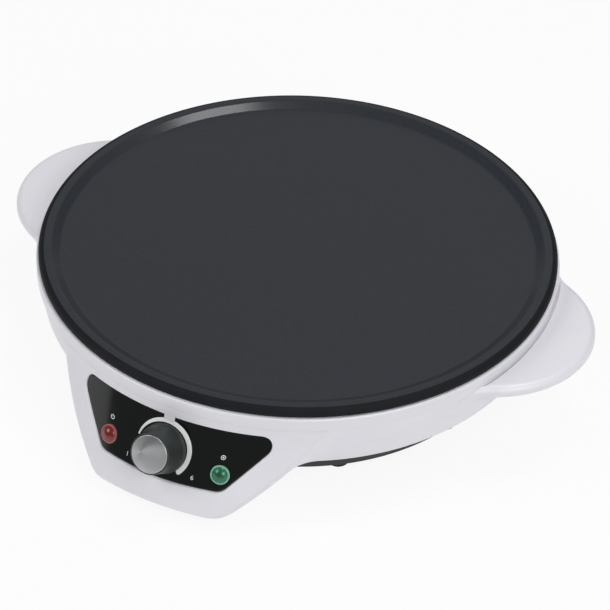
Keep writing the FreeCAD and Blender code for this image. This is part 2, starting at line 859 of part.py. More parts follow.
def cover_outer(extra, low, high):
    """Base cover's outer form, inset by an extra amount: a shallow round pan, with a tongue
    into the nose."""
    low_r = cover_radius_low - extra
    high_r = bowl_edge_radius - cover_step - extra
    e = cover_edge_bevel
    steps = [(0, low), (low_r - e, low)]
    steps += [(low_r + e * (high_r - low_r) / (high - low), low + e), (high_r, high), (0, high)]
    pan = turned(steps)
    levels = between(low, high, 4)
    inset = wall + cover_nose_gap + extra
    tongue = Part.makeLoft([level_outline(z, inset) for z in levels], True, False)
    return pan.fuse(tongue)


def base_cover():
    """Black bottom pan with vent slots, pillar seats, screw bosses and foot holes."""
    rim = bowl_edge_z
    body = cover_outer(0.0, cover_z, rim).cut(cover_outer(cover_wall, cover_floor_top, rim + 1))
    for angle in pillar_angles.values():
        centre = polar(pillar_circle, angle, 0)
        body = body.fuse(disc(seat_diameter / 2, cover_floor_top - 1, seat_top, centre.x, centre.y))
    for place in base_screw_places():
        boss = disc(base_boss_diameter / 2 + 1.0, cover_floor_top - 1, rim, place.x, place.y)
        body = body.fuse(boss)
    cuts = []
    for angle in pillar_angles.values():
        centre = polar(pillar_circle, angle, 0)
        bore = plate_screw_diameter / 2 + screw_clearance
        cuts.append(disc(bore, cover_z - 1, seat_top + 1, centre.x, centre.y))
        sink = plate_screw_head / 2 + screw_clearance
        cuts.append(disc(sink, cover_z - 1, cover_z + seat_height, centre.x, centre.y))
    for place in base_screw_places():
        bore = base_screw_diameter / 2 + screw_clearance
        cuts.append(disc(bore, cover_z - 1, rim + 1, place.x, place.y))
        sink = base_screw_head / 2 + screw_clearance
        cuts.append(disc(sink, cover_z - 1, base_head_z(), place.x, place.y))
    for x, y in foot_places().values():
        cuts.append(disc(foot_stem_diameter / 2, cover_z - 1, cover_floor_top + 1, x, y))
    body = body.cut(cuts)
    return clean_solid(body.cut(vent_slots()))


def base_head_z():
    """Height of the seat inside a base screw's sunk hole."""
    return cover_floor_top + base_screw_head_height


def vent_slots():
    """Ring of round-ended slots through the cover's floor."""
    half = slot_length / 2 - slot_width / 2
    slots = []
    for index in range(slot_count):
        low = cover_z - 1
        high = cover_floor_top + 1
        bar = Part.makeBox(2 * half, slot_width, high - low, V(slot_circle - half, -slot_width / 2, low))
        ends = [disc(slot_width / 2, low, high, slot_circle + side * half) for side in (-1, 1)]
        slot = bar.fuse(ends).removeSplitter()
        slot.rotate(V(0, 0, 0), V(0, 0, 1), (index + 0.5) * 360 / slot_count)
        slots.append(slot)
    return Part.makeCompound(slots)


def base_screws():
    """Four self-tapping screws up through the cover's bosses into the housing's lip."""
    screws = []
    for place in base_screw_places():
        length = lip_top + housing_boss_height - 4 - base_head_z()
        screw = round_head_screw(base_screw_diameter, base_screw_head, base_screw_head_height, length)
        screw.translate(V(place.x, place.y, base_head_z()))
        screws.append(screw)
    return Part.makeCompound(screws)


def foot(x, y):
    """Rubber foot: tapered pad with a bevelled edge, and a stem with a barb above the floor."""
    top_r = foot_top_diameter / 2
    low_r = foot_bottom_diameter / 2
    e = foot_edge_bevel
    stem = foot_stem_diameter / 2
    barb = stem + foot_barb
    steps = [(0, 0), (low_r - e, 0), (low_r, e), (top_r, foot_height)]
    steps += [(stem, foot_height), (stem, cover_floor_top), (barb, cover_floor_top)]
    steps += [(stem * 0.7, cover_floor_top + foot_barb_height), (0, cover_floor_top + foot_barb_height)]
    pad = turned(steps)
    pad.translate(V(x, y, 0))
    return pad


def control_panel():
    """Panel that fills the nose's window, with a wider flange behind the wall, a flat pad for
    the thermostat, and holes for spindle, screws and lamps."""
    front = cone_shell(panel_sink, wall + panel_flange_thickness)
    face = panel_prism(0.0, panel_gap).common(front)
    flange_front = wall + panel_gap
    flange = panel_prism(panel_flange, 0.0)
    flange = flange.common(cone_shell(flange_front, flange_front + panel_flange_thickness))
    over_cover = disc(2 * plate_radius, bowl_edge_z + cover_step, height)
    flange = flange.common(over_cover)
    body = face.fuse(flange)
    depth = panel_flange_depth()
    pad = disc(pad_diameter / 2, -depth - pad_thickness, -depth + 1)
    body = body.fuse(on_panel(pad, knob_height_on_nose))
    cuts = [disc(bush_diameter / 2 + bush_clearance, -30, 10)]
    for side in (-1, 1):
        x = side * screw_pitch / 2
        cuts.append(disc(small_screw_diameter / 2 + screw_clearance, -30, 10, x))
        cuts.append(disc(small_head_diameter / 2 + screw_clearance, -small_head_depth(), 10, x))
    cuts = [on_panel(cut, knob_height_on_nose) for cut in cuts]
    hole = disc(lamp_shank_radius + lamp_hole_clearance, -30, 10)
    for side in (-1, 1):
        cuts.append(on_panel(hole, lamp_height, side * lamp_angle()))
    return clean_solid(body.cut(cuts))


def small_head_depth():
    """Depth of the seat of a thermostat screw's head below the panel's front."""
    return 2.4


def lamp_angle():
    return math.degrees(lamp_arc / cone_at(lamp_height))


def thermostat_front():
    """Depth of the thermostat's mounting face below the panel's front."""
    return panel_flange_depth() + pad_thickness


def thermostat_body():
    """Control block behind the pad, with a bush that guides the spindle."""
    face = -thermostat_front()
    w = thermostat_width
    h = thermostat_height
    block = Part.makeBox(w, h, thermostat_depth, V(-w / 2, -h / 2, face - thermostat_depth))
    upright = [edge for edge in block.Edges if abs(edge.tangentAt(0).z) > 0.9]
    block = block.makeFillet(thermostat_corner, upright)
    bush = disc(bush_diameter / 2, face - 1, -panel_sink - 0.4)
    block = block.fuse(bush)
    bore = disc(spindle_diameter / 2 + running_clearance, -thermostat_front() - spindle_reach - 1, 20)
    block = block.cut(bore)
    for side in (-1, 1):
        hole = disc(small_screw_diameter / 2, face - 8, face + 1, side * screw_pitch / 2)
        block = block.cut(hole)
    return on_panel(clean_solid(block), knob_height_on_nose)


def thermostat_screws():
    """Two screws through the panel, under the knob, into the thermostat."""
    length = thermostat_front() - small_head_depth() + 7
    screws = []
    for side in (-1, 1):
        screw = round_head_screw(small_screw_diameter, small_head_diameter, 1.6, length)
        screw.rotate(V(0, 0, 0), V(1, 0, 0), 180)
        screw.translate(V(side * screw_pitch / 2, 0, -small_head_depth()))
        screws.append(screw)
    return on_panel(Part.makeCompound(screws), knob_height_on_nose)


def thermostat_tabs():
    """Two blade terminals on the thermostat's back."""
    back = -thermostat_front() - thermostat_depth
    tabs = []
    for side in (-1, 1):
        corner = V(side * tab_blade_pitch / 2 - tab_blade_thickness / 2 - 6, -10, back - tab_blade_length)
        tabs.append(Part.makeBox(tab_blade_thickness, tab_blade_width, tab_blade_length, corner))
    return on_panel(Part.makeCompound(tabs), knob_height_on_nose)


def spindle_section(low, high):
    """Round spindle with a flat, between two depths."""
    r = spindle_diameter / 2
    bar = disc(r, low, high)
    cut = Part.makeBox(4 * r, 2 * r, high - low, V(-2 * r, r - spindle_flat, low))
    return bar.cut(cut)


def spindle_tip():
    """How far the spindle stands out of the panel."""
    return knob_clearance + knob_base_height + spindle_grip


def thermostat_spindle():
    """Spindle from inside the thermostat to inside the knob, flatted where the knob grips."""
    start = knob_clearance + knob_base_height
    bar = disc(spindle_diameter / 2, -thermostat_front() - spindle_reach, start)
    return on_panel(clean_solid(bar.fuse(spindle_section(start, spindle_tip()))), knob_height_on_nose)


def knob_body():
    """Hollow moulded knob: skirt, tapered grip, seat for the cap, D-bored boss and pointer."""
    low = knob_clearance
    top = knob_depth
    lip = low + knob_base_height
    seat = top - cap_thickness + cap_proud
    steps = [(0, top - 4), (0, seat), (cap_radius, seat), (cap_radius, top - 0.3)]
    steps += [(knob_front_radius, top - 0.8), (knob_foot_radius, lip)]
    steps += [(knob_base_radius, lip - 0.6), (knob_base_radius, low)]
    steps += [(knob_foot_radius - knob_wall, low), (knob_front_radius - knob_wall, top - 4)]
    shell = turned(steps)
    boss = disc(knob_boss_radius, lip, top - 3)
    body = shell.fuse(boss)
    rib_thickness = 1.2
    for angle in (45, 135):
        reach = knob_front_radius - 0.5
        rib = Part.makeBox(2 * reach, rib_thickness, 7, V(-reach, -rib_thickness / 2, top - 10))
        rib.rotate(V(0, 0, 0), V(0, 0, 1), angle)
        body = body.fuse(rib)
    body = body.cut(spindle_section(low, spindle_tip()))
    half = knob_pointer_width / 2
    outline = [(0, lip), (knob_foot_radius + knob_pointer_proud, lip)]
    outline += [(knob_front_radius + knob_pointer_proud, top - 1.5), (0, top - 1.5)]
    pointer = closed_face(outline, in_section)
    pointer.translate(V(0, -half, 0))
    pointer = pointer.extrude(V(0, 2 * half, 0))
    core = [(0, lip - 1), (knob_foot_radius - 1, lip - 1), (knob_front_radius - 1, top), (0, top)]
    pointer = pointer.cut(turned(core))
    pointer.rotate(V(0, 0, 0), V(0, 0, 1), knob_pointer_angle)
    return on_panel(clean_solid(body.fuse(pointer)), knob_height_on_nose)


def knob_cap():
    """Spun aluminium disc with a bevelled edge, pressed into the knob's front."""
    low = knob_depth - cap_thickness + cap_proud
    top = low + cap_thickness
    steps = [(0, low), (cap_radius, low), (cap_radius, top - cap_bevel), (cap_radius - cap_bevel, top)]
    steps.append((0, top))
    return on_panel(turned(steps), knob_height_on_nose)


def lamp_lens(side):
    """Clear lens: flange on the panel, shallow dome, shank through the panel."""
    steps = [(0, -lamp_depth()), (lamp_shank_radius, -lamp_depth()), (lamp_shank_radius, 0)]
    steps += [(lamp_flange_radius, 0), (lamp_flange_radius, lamp_flange_thickness - lamp_flange_bevel)]
    steps.append((lamp_flange_radius - lamp_flange_bevel, lamp_flange_thickness))
    steps.append((lamp_dome_radius, lamp_flange_thickness))
    sphere = (lamp_dome_radius ** 2 + lamp_dome_rise ** 2) / (2 * lamp_dome_rise)
    half = math.asin(lamp_dome_radius / sphere) / 2
    centre_z = lamp_flange_thickness + lamp_dome_rise - sphere
    steps.append((sphere * math.sin(half), centre_z + sphere * math.cos(half), 0, centre_z + sphere))
    return on_panel(turned(steps), lamp_height, side * lamp_angle())


def lamp_depth():
    """Depth at which the holder takes over behind the panel."""
    return panel_flange_depth() + 0.5


def lamp_body(side):
    """Neon holder: collar behind the panel round the lens's shank, and a square body."""
    back = -lamp_depth()
    r = lamp_holder_radius
    collar = disc(r, back - 6, back)
    width = r * 1.5
    rear = back - lamp_holder_length
    box = Part.makeBox(width, width, lamp_holder_length - 5, V(-width / 2, -width / 2, rear))
    return on_panel(clean_solid(collar.fuse(box)), lamp_height, side * lamp_angle())


def cord_inlet_bush():
    """Rear gland with the cord's bore: outer flange on the pad, barbed sleeve through the wall."""
    face = inlet_pad_reach
    back = face - inlet_inner_reach - wall
    body = inlet_body_diameter / 2
    steps = [(inlet_bore / 2, -back), (inlet_bore / 2, -face - inlet_flange_thickness)]
    flange = inlet_flange_diameter / 2
    steps += [(flange - 0.8, -face - inlet_flange_thickness), (flange, -face - inlet_flange_thickness + 0.8)]
    steps += [(flange, -face), (body, -face), (body, -back)]
    bush = turned(steps)
    bush.rotate(V(0, 0, 0), V(1, 0, 0), 90)
    bush.translate(V(0, 0, inlet_height))
    return bush


def terminal_block():
    """Three-way screw block on the cover's floor, in front of the cord inlet."""
    low = cover_floor_top
    corner = V(-block_length / 2, block_back - block_depth / 2, low)
    block = Part.makeBox(block_length, block_depth, block_height, corner)
    pitch = block_length / 3
    for step in (-1, 0, 1):
        way = Part.makeCylinder(block_hole / 2, block_depth + 2, corner + V(0, -1, 0), V(0, 1, 0))
        way.translate(V(block_length / 2 + step * pitch, 0, block_height * 0.4))
        block = block.cut(way)
        well = disc(block_hole / 2, low + block_height * 0.6, low + block_height + 1, step * pitch, block_back)
        block = block.cut(well)
    return clean_solid(block)


def fuse_place():
    return V(0, fuse_back, shield_under - fuse_diameter / 2)


def thermal_fuse():
    """Small metal can with a lead at each end, under the heat shield."""
    r = fuse_diameter / 2
    place = fuse_place()
    can = Part.makeCylinder(r, fuse_length, V(-fuse_length / 2, place.y, place.z), V(1, 0, 0))
    reach = fuse_length / 2 + fuse_lead_length
    lead = Part.makeCylinder(fuse_lead_diameter / 2, 2 * reach, V(-reach, place.y, place.z), V(1, 0, 0))
    return clean_solid(can.fuse(lead))


def fuse_clip():
    """Spring strap that holds the fuse against the shield."""
    r = fuse_diameter / 2
    out = r + clip_thickness
    top = shield_under
    mid_z = top - r
    steps = [(-r, top), (-r, mid_z), (0, mid_z - r, r, mid_z), (r, top), (out + clip_ear, top)]
    steps += [(out + clip_ear, top - clip_thickness), (out, top - clip_thickness), (out, mid_z)]
    steps += [(0, mid_z - out, -out, mid_z), (-out, top)]
    strap = closed_face(steps, in_side_view).extrude(V(fuse_clip_width, 0, 0))
    strap.translate(V(-fuse_clip_width / 2, fuse_back, 0))
    return strap


def all_pieces():
    """Every piece by its node name."""
    pieces = {"cooking_plate": cooking_plate(), "heating_element": heating_element()}
    for name, side in (("left", -1), ("right", 1)):
        pieces["element_bead_" + name] = element_bead(side)
    pieces["heat_shield"] = heat_shield()
    for name, angle in pillar_angles.items():
        pieces["pillar_" + name] = pillar(angle)
    pieces["plate_screws"] = plate_screws()
    pieces["housing"] = housing()
    pieces["base_cover"] = base_cover()
    pieces["base_screws"] = base_screws()
    for name, (x, y) in foot_places().items():
        pieces["foot_" + name] = foot(x, y)
    pieces["control_panel"] = control_panel()
    pieces["knob_body"] = knob_body()
    pieces["knob_cap"] = knob_cap()
    pieces["thermostat_spindle"] = thermostat_spindle()
    pieces["thermostat_body"] = thermostat_body()
    pieces["thermostat_screws"] = thermostat_screws()
    pieces["thermostat_tabs"] = thermostat_tabs()
    pieces["capillary_tube"] = capillary_tube()
    pieces["sensing_bulb"] = sensing_bulb()
    pieces["bulb_clip"] = bulb_clip()
    pieces["bulb_clip_screws"] = bulb_clip_screws()
    for name, side in (("power_lamp", -1), ("ready_lamp", 1)):
        pieces[name + "_lens"] = lamp_lens(side)
        pieces[name + "_body"] = lamp_body(side)
    pieces["thermal_fuse"] = thermal_fuse()
    pieces["fuse_clip"] = fuse_clip()
    pieces["terminal_block"] = terminal_block()
    pieces["cord_inlet_bush"] = cord_inlet_bush()
    return pieces


def main():
    os.makedirs("parts", exist_ok=True)
    pieces = all_pieces()
    whole = Part.makeCompound(list(pieces.values())).optimalBoundingBox(False, False)
    for name, shape in pieces.items():
        shape = shape.copy()
        shape.translate(V(0, -whole.Center.y, 0))
        shape.exportStep("parts/" + name + ".step")
        print(name, len(shape.Solids), round(shape.Volume), shape.isValid())
    print("moved along Y by", round(-whole.Center.y, 4))
    print("box", [round(value, 3) for value in (whole.XMin, whole.XMax, whole.YMin, whole.YMax,
                                                whole.ZMin, whole.ZMax)])


main()
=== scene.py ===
# %% [markdown]
# # An electric crepe maker, dressed for its picture
#
# The construction model gives this scene every part in its place, in metres. We load it first
# and never move it. What the eye meets is then built again as smooth surfaces: the non-stick
# plate, the white housing with its nose and handles, the black control panel, the knob with
# its spun cap, and the two lamps. The parts inside keep their own meshes and get real finishes.

# %% Load the fixed frame
import json
import math

import bpy
import bmesh
import numpy as np
from mathutils import Matrix, Vector


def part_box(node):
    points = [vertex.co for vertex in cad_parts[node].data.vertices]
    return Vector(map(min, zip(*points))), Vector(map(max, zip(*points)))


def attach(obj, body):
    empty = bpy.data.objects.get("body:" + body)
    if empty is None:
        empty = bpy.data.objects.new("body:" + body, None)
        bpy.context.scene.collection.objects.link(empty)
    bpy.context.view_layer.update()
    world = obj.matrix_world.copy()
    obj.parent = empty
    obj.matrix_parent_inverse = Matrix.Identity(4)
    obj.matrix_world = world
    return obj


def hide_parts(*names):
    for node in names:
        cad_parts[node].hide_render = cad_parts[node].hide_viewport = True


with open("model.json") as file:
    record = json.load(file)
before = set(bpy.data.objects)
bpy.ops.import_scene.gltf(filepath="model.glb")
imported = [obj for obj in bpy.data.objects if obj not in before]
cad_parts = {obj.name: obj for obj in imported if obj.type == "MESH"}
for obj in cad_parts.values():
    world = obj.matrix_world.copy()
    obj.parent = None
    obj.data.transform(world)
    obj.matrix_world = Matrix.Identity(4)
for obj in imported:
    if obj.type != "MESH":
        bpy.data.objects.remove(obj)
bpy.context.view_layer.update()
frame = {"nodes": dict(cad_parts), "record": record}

print("CAD nodes:", len(frame["nodes"]))

# %% [markdown]
# ## Millimetres and the plate's axis
#
# Every size below is a real size in millimetres, counted from the plate's axis and from the
# table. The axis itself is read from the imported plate, so the scene follows the frame.

# %% Units and the common axis
MM = 0.001
plate_low, plate_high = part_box("cooking_plate")
axis_x = (plate_low.x + plate_high.x) / 2 / MM
axis_y = (plate_low.y + plate_high.y) / 2 / MM
rim_top = plate_high.z / MM
plate_radius = (plate_high.x - plate_low.x) / 2 / MM
print("plate axis at", round(axis_x, 2), round(axis_y, 2), "mm, radius", round(plate_radius, 2), "mm")

# %% [markdown]
# ## The camera
#
# The photograph was matched: a long lens looks down on the maker from the front and a
# little from its right. Azimuth, elevation and roll turn the camera, the distance and focal
# length set its perspective, and the offset slides the picture inside the square frame.

# %% Camera
picture_side = 610
view_azimuth = math.radians(26.096)
view_elevation = math.radians(38.918)
view_roll = math.radians(1.828)
view_distance = 1634.8
focal_pixels = 2570.9
picture_offset = (298.669, 239.808)
sensor_width = 36.0


def camera_axes(azimuth, elevation, roll):
    """Right, up and backward unit vectors. Backward is (sin a cos e, -cos a cos e, sin e), right
    is level, up is their cross product, and the roll turns right and up about backward."""
    back = np.array([math.sin(azimuth) * math.cos(elevation),
                     -math.cos(azimuth) * math.cos(elevation), math.sin(elevation)])
    level = np.array([math.cos(azimuth), math.sin(azimuth), 0.0])
    upward = np.cross(back, level)
    right = math.cos(roll) * level + math.sin(roll) * upward
    up = -math.sin(roll) * level + math.cos(roll) * upward
    return right, up, back


def shown(name, data):
    """A new object of some data, linked to the scene."""
    made = bpy.data.objects.new(name, data)
    bpy.context.scene.collection.objects.link(made)
    return made


right, up, back = camera_axes(view_azimuth, view_elevation, view_roll)
middle = picture_side / 2
slide_x = (picture_offset[0] - middle) / focal_pixels * view_distance
slide_y = -(picture_offset[1] - middle) / focal_pixels * view_distance
camera_place = view_distance * back - slide_x * right - slide_y * up
camera_place += np.array([axis_x, axis_y, rim_top])

camera_data = bpy.data.cameras.new("photo_camera")
camera_data.sensor_width = sensor_width
camera_data.lens = focal_pixels / picture_side * sensor_width
camera_data.clip_start = 0.05
camera_data.clip_end = 30.0
camera = shown("photo_camera", camera_data)
turn = np.eye(4)
turn[:3, 0], turn[:3, 1], turn[:3, 2] = right, up, back
turn[:3, 3] = camera_place * MM
camera.matrix_world = Matrix(turn.tolist())
bpy.context.scene.camera = camera
print("lens", round(camera_data.lens, 1), "mm at", [round(v, 3) for v in camera.location], "m")

# %% [markdown]
# ## From arrays to a mesh
#
# Most of the maker is moulded or turned, so its surfaces are smooth and follow formulas. Such a
# surface is a grid of points: rows run one way, columns the other. Four neighbours make one
# quad, so all the faces of a grid come from one small table of indices. That is shorter and
# more even than modelling by hand, and a changed size gives the new shape at once.

# %% Grids
def grid(points):
    """Points of shape (rows, columns, 3) as a flat list and the quads between neighbours."""
    rows, columns = points.shape[:2]
    index = np.arange(rows * columns).reshape(rows, columns)
    quads = np.stack([index[:-1, :-1], index[:-1, 1:], index[1:, 1:], index[1:, :-1]], axis=-1)
    return points.reshape(-1, 3), quads.reshape(-1, 4)


def stacked(surfaces):
    """Several grids as one list of points and one list of quads."""
    points, quads, count = [], [], 0
    for surface in surfaces:
        p, q = grid(surface)
        points.append(p)
        quads.append(q + count)
        count += len(p)
    return np.concatenate(points), np.concatenate(quads)


def mirrored(surface):
    """The same grid on the other side of the middle plane, with its columns turned round so
    that the faces still point outward. Coordinates are about the plate's axis."""
    return (surface * np.array([-1.0, 1.0, 1.0]))[:, ::-1]


def values(items, key):
    """Three numbers of each vertex or face, such as its place or centre, as one array."""
    read = np.zeros(len(items) * 3)
    items.foreach_get(key, read)
    return read.reshape(-1, 3)


def placed(points):
    """From millimetres about the plate's axis to metres in the frame."""
    return (points + np.array([axis_x, axis_y, 0.0])) * MM


print("a grid of 3 by 4 points has", len(grid(np.zeros((3, 4, 3)))[1]), "quads")

# %% [markdown]
# ## From a mesh to a piece
#
# A real part is a closed body, so its mesh should be closed too. Grids that share an edge are
# stacked, their common points are merged, and the faces are turned outward. Edges sharper than a
# chosen angle stay crisp, and everything else is shaded smooth. Each piece then names the body
# that it rides on and the construction node that it stands for.

# %% Pieces
MERGE = 1e-6
sharp_angle = math.radians(35.0)
pieces = {}


def closed_piece(name, mesh, body, replaced=()):
    """A closed mesh as a piece that rides on a body. Doubles are merged, so seams and poles
    close, and the faces are turned outward."""
    work = bmesh.new()
    work.from_mesh(mesh)
    bmesh.ops.remove_doubles(work, verts=work.verts, dist=MERGE)
    bmesh.ops.dissolve_degenerate(work, dist=MERGE, edges=work.edges)
    bmesh.ops.recalc_face_normals(work, faces=work.faces)
    work.to_mesh(mesh)
    work.free()
    made = shown(name, mesh)
    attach(made, body)
    if replaced:
        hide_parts(*replaced)
    pieces[name] = made
    print(name, len(mesh.polygons), "faces")
    return made


def piece(name, surfaces, body, replaced=()):
    """One piece from grids in millimetres. It is shaded smooth, and edges that bend more than
    the sharp angle stay crisp."""
    points, quads = stacked(surfaces)
    mesh = bpy.data.meshes.new(name)
    mesh.from_pydata(placed(points).tolist(), [], quads.tolist())
    made = closed_piece(name, mesh, body, replaced)
    mesh.shade_smooth()
    mesh.set_sharp_from_angle(angle=sharp_angle)
    return made


print("points closer than", MERGE / MM, "mm are merged")

# %% [markdown]
# ## Profiles with rounded corners
#
# Most of the maker is turned: a half section is carried round an axis. A half section is a
# short list of corners, and each corner has a radius. A Bevel modifier would round all edges
# alike and add faces where none are needed. Here each corner is swapped for an arc that touches
# both of its sides, which is how a mould or a lathe leaves it.

# %% Rounded profiles and turned surfaces
def rounded(corners, closed=False, steps=6):
    """Corners as (a, b, radius). Each corner with a radius becomes an arc tangent to both of
    its sides: it starts radius / tan(half angle) before the corner and ends as far after it."""
    count = len(corners)
    points = np.array([c[:2] for c in corners], float)
    path = []
    for index, corner in enumerate(corners):
        radius = corner[2] if len(corner) > 2 else 0.0
        at_end = not closed and index in (0, count - 1)
        if radius == 0.0 or at_end:
            path.append(points[index][None])
            continue
        before = points[index - 1] - points[index]
        after = points[(index + 1) % count] - points[index]
        before /= np.hypot(*before)
        after /= np.hypot(*after)
        half = math.acos(max(-1.0, min(1.0, float(before @ after)))) / 2
        middle_way = before + after
        centre = points[index] + middle_way / np.hypot(*middle_way) * radius / math.sin(half)
        start = points[index] + before * radius / math.tan(half) - centre
        end = points[index] + after * radius / math.tan(half) - centre
        angle = math.atan2(start[1], start[0])
        sweep = (math.atan2(end[1], end[0]) - angle + math.pi) % (2 * math.pi) - math.pi
        turn_angles = angle + sweep * np.linspace(0, 1, steps + 1)
        path.append(centre + radius * np.stack([np.cos(turn_angles), np.sin(turn_angles)], axis=1))
    path = np.concatenate(path)
    return np.concatenate([path, path[:1]]) if closed else path


def turned(profile, steps=192):
    """Surface of revolution: (r cos t, r sin t, h) for each profile point (r, h) and t from 0 to
    a full turn."""
    t = np.linspace(0, 2 * np.pi, steps + 1)
    r, h = profile[:, 0][:, None], profile[:, 1][:, None]
    return np.stack([r * np.cos(t), r * np.sin(t), h + 0 * t], axis=-1)


print("a corner of radius 3 mm becomes", len(rounded([(0, 0), (10, 0, 3), (10, 10)])), "points")

# %% [markdown]
# ## The cooking plate
#
# The plate is an aluminium casting, turned and then coated. It is round, so we turn its half
# section: a flat cooking face, a slope up to a low rim, a narrow land and a rounded outer edge.
# The underside keeps the channel that holds the heating tube, and three turned screw bosses.

# %% Cooking plate
rim_rise, floor_thickness = 3.9, 6.0
rim_foot, rim_start = 14.5, 8.0
rim_depth, skirt = 5.2, 5.0
channel_radius, channel_half, channel_slant = 96.0, 6.0, 1.5
channel_depth, channel_roof = 5.0, 4.65
tube_radius = 3.5
boss_circle, boss_radius, boss_length = 66.0, 6.5, 16.0
cook_z = rim_top - rim_rise
plate_under = cook_z - floor_thickness
boss_bottom = plate_under - boss_length


def plate_profile():
    """Half section from the middle of the cooking face, over the rim and back underneath."""
    r = plate_radius
    edge_z = rim_top - rim_depth
    side = plate_under - channel_depth
    roof = side + channel_roof
    top = [(0, cook_z), (r - rim_foot, cook_z, 5.0), (r - rim_start, rim_top, 3.4), (r, rim_top, 3.6)]
    edge = [(r, edge_z, 0.5), (r - skirt, edge_z), (r - skirt, plate_under, 0.6)]
    half = [(channel_half + channel_slant, plate_under), (channel_half, side), (tube_radius, side),
            (tube_radius, roof, tube_radius)]
    far = [(channel_radius + out, *rest) for out, *rest in half]
    near = [(channel_radius - out, *rest) for out, *rest in reversed(half)]
    return rounded(top + edge + far + near + [(0, plate_under)], steps=8)


def boss(angle):
    """Round boss under the plate at an angle from the nose, turned and moved to its place."""
    head = plate_under + 1
    section = [(0, boss_bottom), (boss_radius, boss_bottom, 0.4), (boss_radius, head), (0, head)]
    place = np.array([boss_circle * math.sin(angle), -boss_circle * math.cos(angle), 0])
    return turned(rounded(section), steps=32) + place


bosses = [boss(math.radians(angle)) for angle in (180, -60, 60)]
cooking_plate = piece("plate_casting", [turned(plate_profile(), steps=256), *bosses],
                      body="base", replaced=["cooking_plate"])

# %% [markdown]
# ## The housing in numbers
#
# The housing is one white moulding: a round bowl, and a nose at the front that leans out like a
# piece of a cone. Joining two ready shapes would leave a hard line between them. Instead we give
# each form's radius as a formula of the height, and blend the formulas.

# %% Radii of bowl and nose
wall = 3.0
ring_radius = 166.5
ring_top = rim_top - 6.0
ring_bottom = ring_top - 9.0
bowl_radius, bowl_corner = 163.6, 36.0
bowl_edge_radius = 140.0
joint_radius, joint_z = 135.8, 8.0
corner_z = ring_bottom - 10.0
corner_r = bowl_radius - bowl_corner
edge_angle = math.acos((bowl_edge_radius - corner_r) / bowl_corner)
bowl_edge_z = corner_z - bowl_corner * math.sin(edge_angle)
cone_radius, cone_z, cone_slope = 165.0, 61.3, 0.48
nose_bottom, nose_corner, nose_root = 8.3, 11.0, 34.0
nose_half_low, nose_half_gain = 11.4, 21.8
toe_height, toe_turn = 3.0, 1.5
flank_turn = 1 - math.cos(math.radians(80.0))


def cone_at(z):
    """Radius of the nose's cone: its radius at a known height plus slope times the way down."""
    return cone_radius + cone_slope * (cone_z - z)


def nose_radius(z):
    """The larger of cone and ring, with a soft bend between them: half of the difference plus
    half the root of its square and one."""
    over = cone_at(z) - ring_radius
    return ring_radius + (over + np.sqrt(over ** 2 + 1.0)) / 2


def nose_angle(z):
    """Half angle of the nose's front, wider towards the top, with a toe rounded by an ellipse."""
    share = (z - nose_bottom) / (ring_bottom - nose_bottom)
    toe = np.clip(1 - (z - nose_bottom) / toe_height, 0, 1)
    return np.radians(nose_half_low + share * nose_half_gain - toe_turn * (1 - np.sqrt(1 - toe ** 2)))


def bowl_at(z, inset):
    """Radius of the bowl: upright at the top, then a quarter-like arc, then a shallow cone."""
    lowest = corner_z - (bowl_corner - inset) * math.sin(edge_angle)
    drop = np.clip(corner_z - z, 0, None)
    arc = corner_r + np.sqrt(np.clip((bowl_corner - inset) ** 2 - drop ** 2, 0, None))
    edge = corner_r + (bowl_corner - inset) * math.cos(edge_angle)
    low = joint_radius - inset
    cone = low + (z - joint_z) / (lowest - joint_z) * (edge - low)
    return np.where(z >= lowest, arc, cone)


print("bowl's lower edge at", round(bowl_edge_z, 1), "mm, nose's at", nose_bottom, "mm")

# %% [markdown]
# ## The wall at each height
#
# At each height the outline is made of arcs that touch: the nose's front, its two corners, two
# hollow roots that run into the bowl, and the bowl round the back. One function of two
# parameters, the way along the outline and the height, gives the whole wall, and the same
# function with an inset gives its inner side.

# %% Outline of the wall
def flank(u, z, inset):
    """Right-hand wall. u from 0 to 1 is the nose's corner arc, 1 to 2 the hollow root and 2 to 3
    the bowl round to the middle of the back. Each arc is centre + radius (sin a, -cos a)."""
    nose_r, bowl_r, angle = nose_radius(z), bowl_at(z, inset), nose_angle(z)
    proud = nose_r - bowl_at(z, 0.0)
    root = np.maximum(nose_root, proud / flank_turn - nose_corner) + inset
    corner = nose_corner - inset
    middle_r = nose_r - nose_corner
    reach = bowl_r + root
    cosine = (middle_r ** 2 + reach ** 2 - (corner + root) ** 2) / (2 * middle_r * reach)
    root_angle = angle + np.arccos(cosine)
    corner_x, corner_y = middle_r * np.sin(angle), -middle_r * np.cos(angle)
    root_x, root_y = reach * np.sin(root_angle), -reach * np.cos(root_angle)
    joint = np.arctan2(root_x - corner_x, -(root_y - corner_y))
    a1 = angle + (joint - angle) * u
    a2 = joint + np.pi + (root_angle - joint) * (u - 1)
    a3 = root_angle + (np.pi - root_angle) * (u - 2)
    x = np.where(u <= 1, corner_x + corner * np.sin(a1),
                 np.where(u <= 2, root_x + root * np.sin(a2), bowl_r * np.sin(a3)))
    y = np.where(u <= 1, corner_y - corner * np.cos(a1),
                 np.where(u <= 2, root_y - root * np.cos(a2), -bowl_r * np.cos(a3)))
    return np.stack([x, y, z + 0 * x], axis=-1)


root_end = flank(np.array(2.0), np.array(ring_bottom), 0.0)
print("the root meets the bowl at", root_end[:2].round(1), "mm")

# %% [markdown]
# ## Where the wall ends
#
# Round the bowl the wall stops level, above the black cover. Along the nose's flanks its edge
# drops in one soft S towards the table. Each column of the grid starts on that line, so the
# rows fan out from it, and the first few millimetres are drawn in to round the edge.

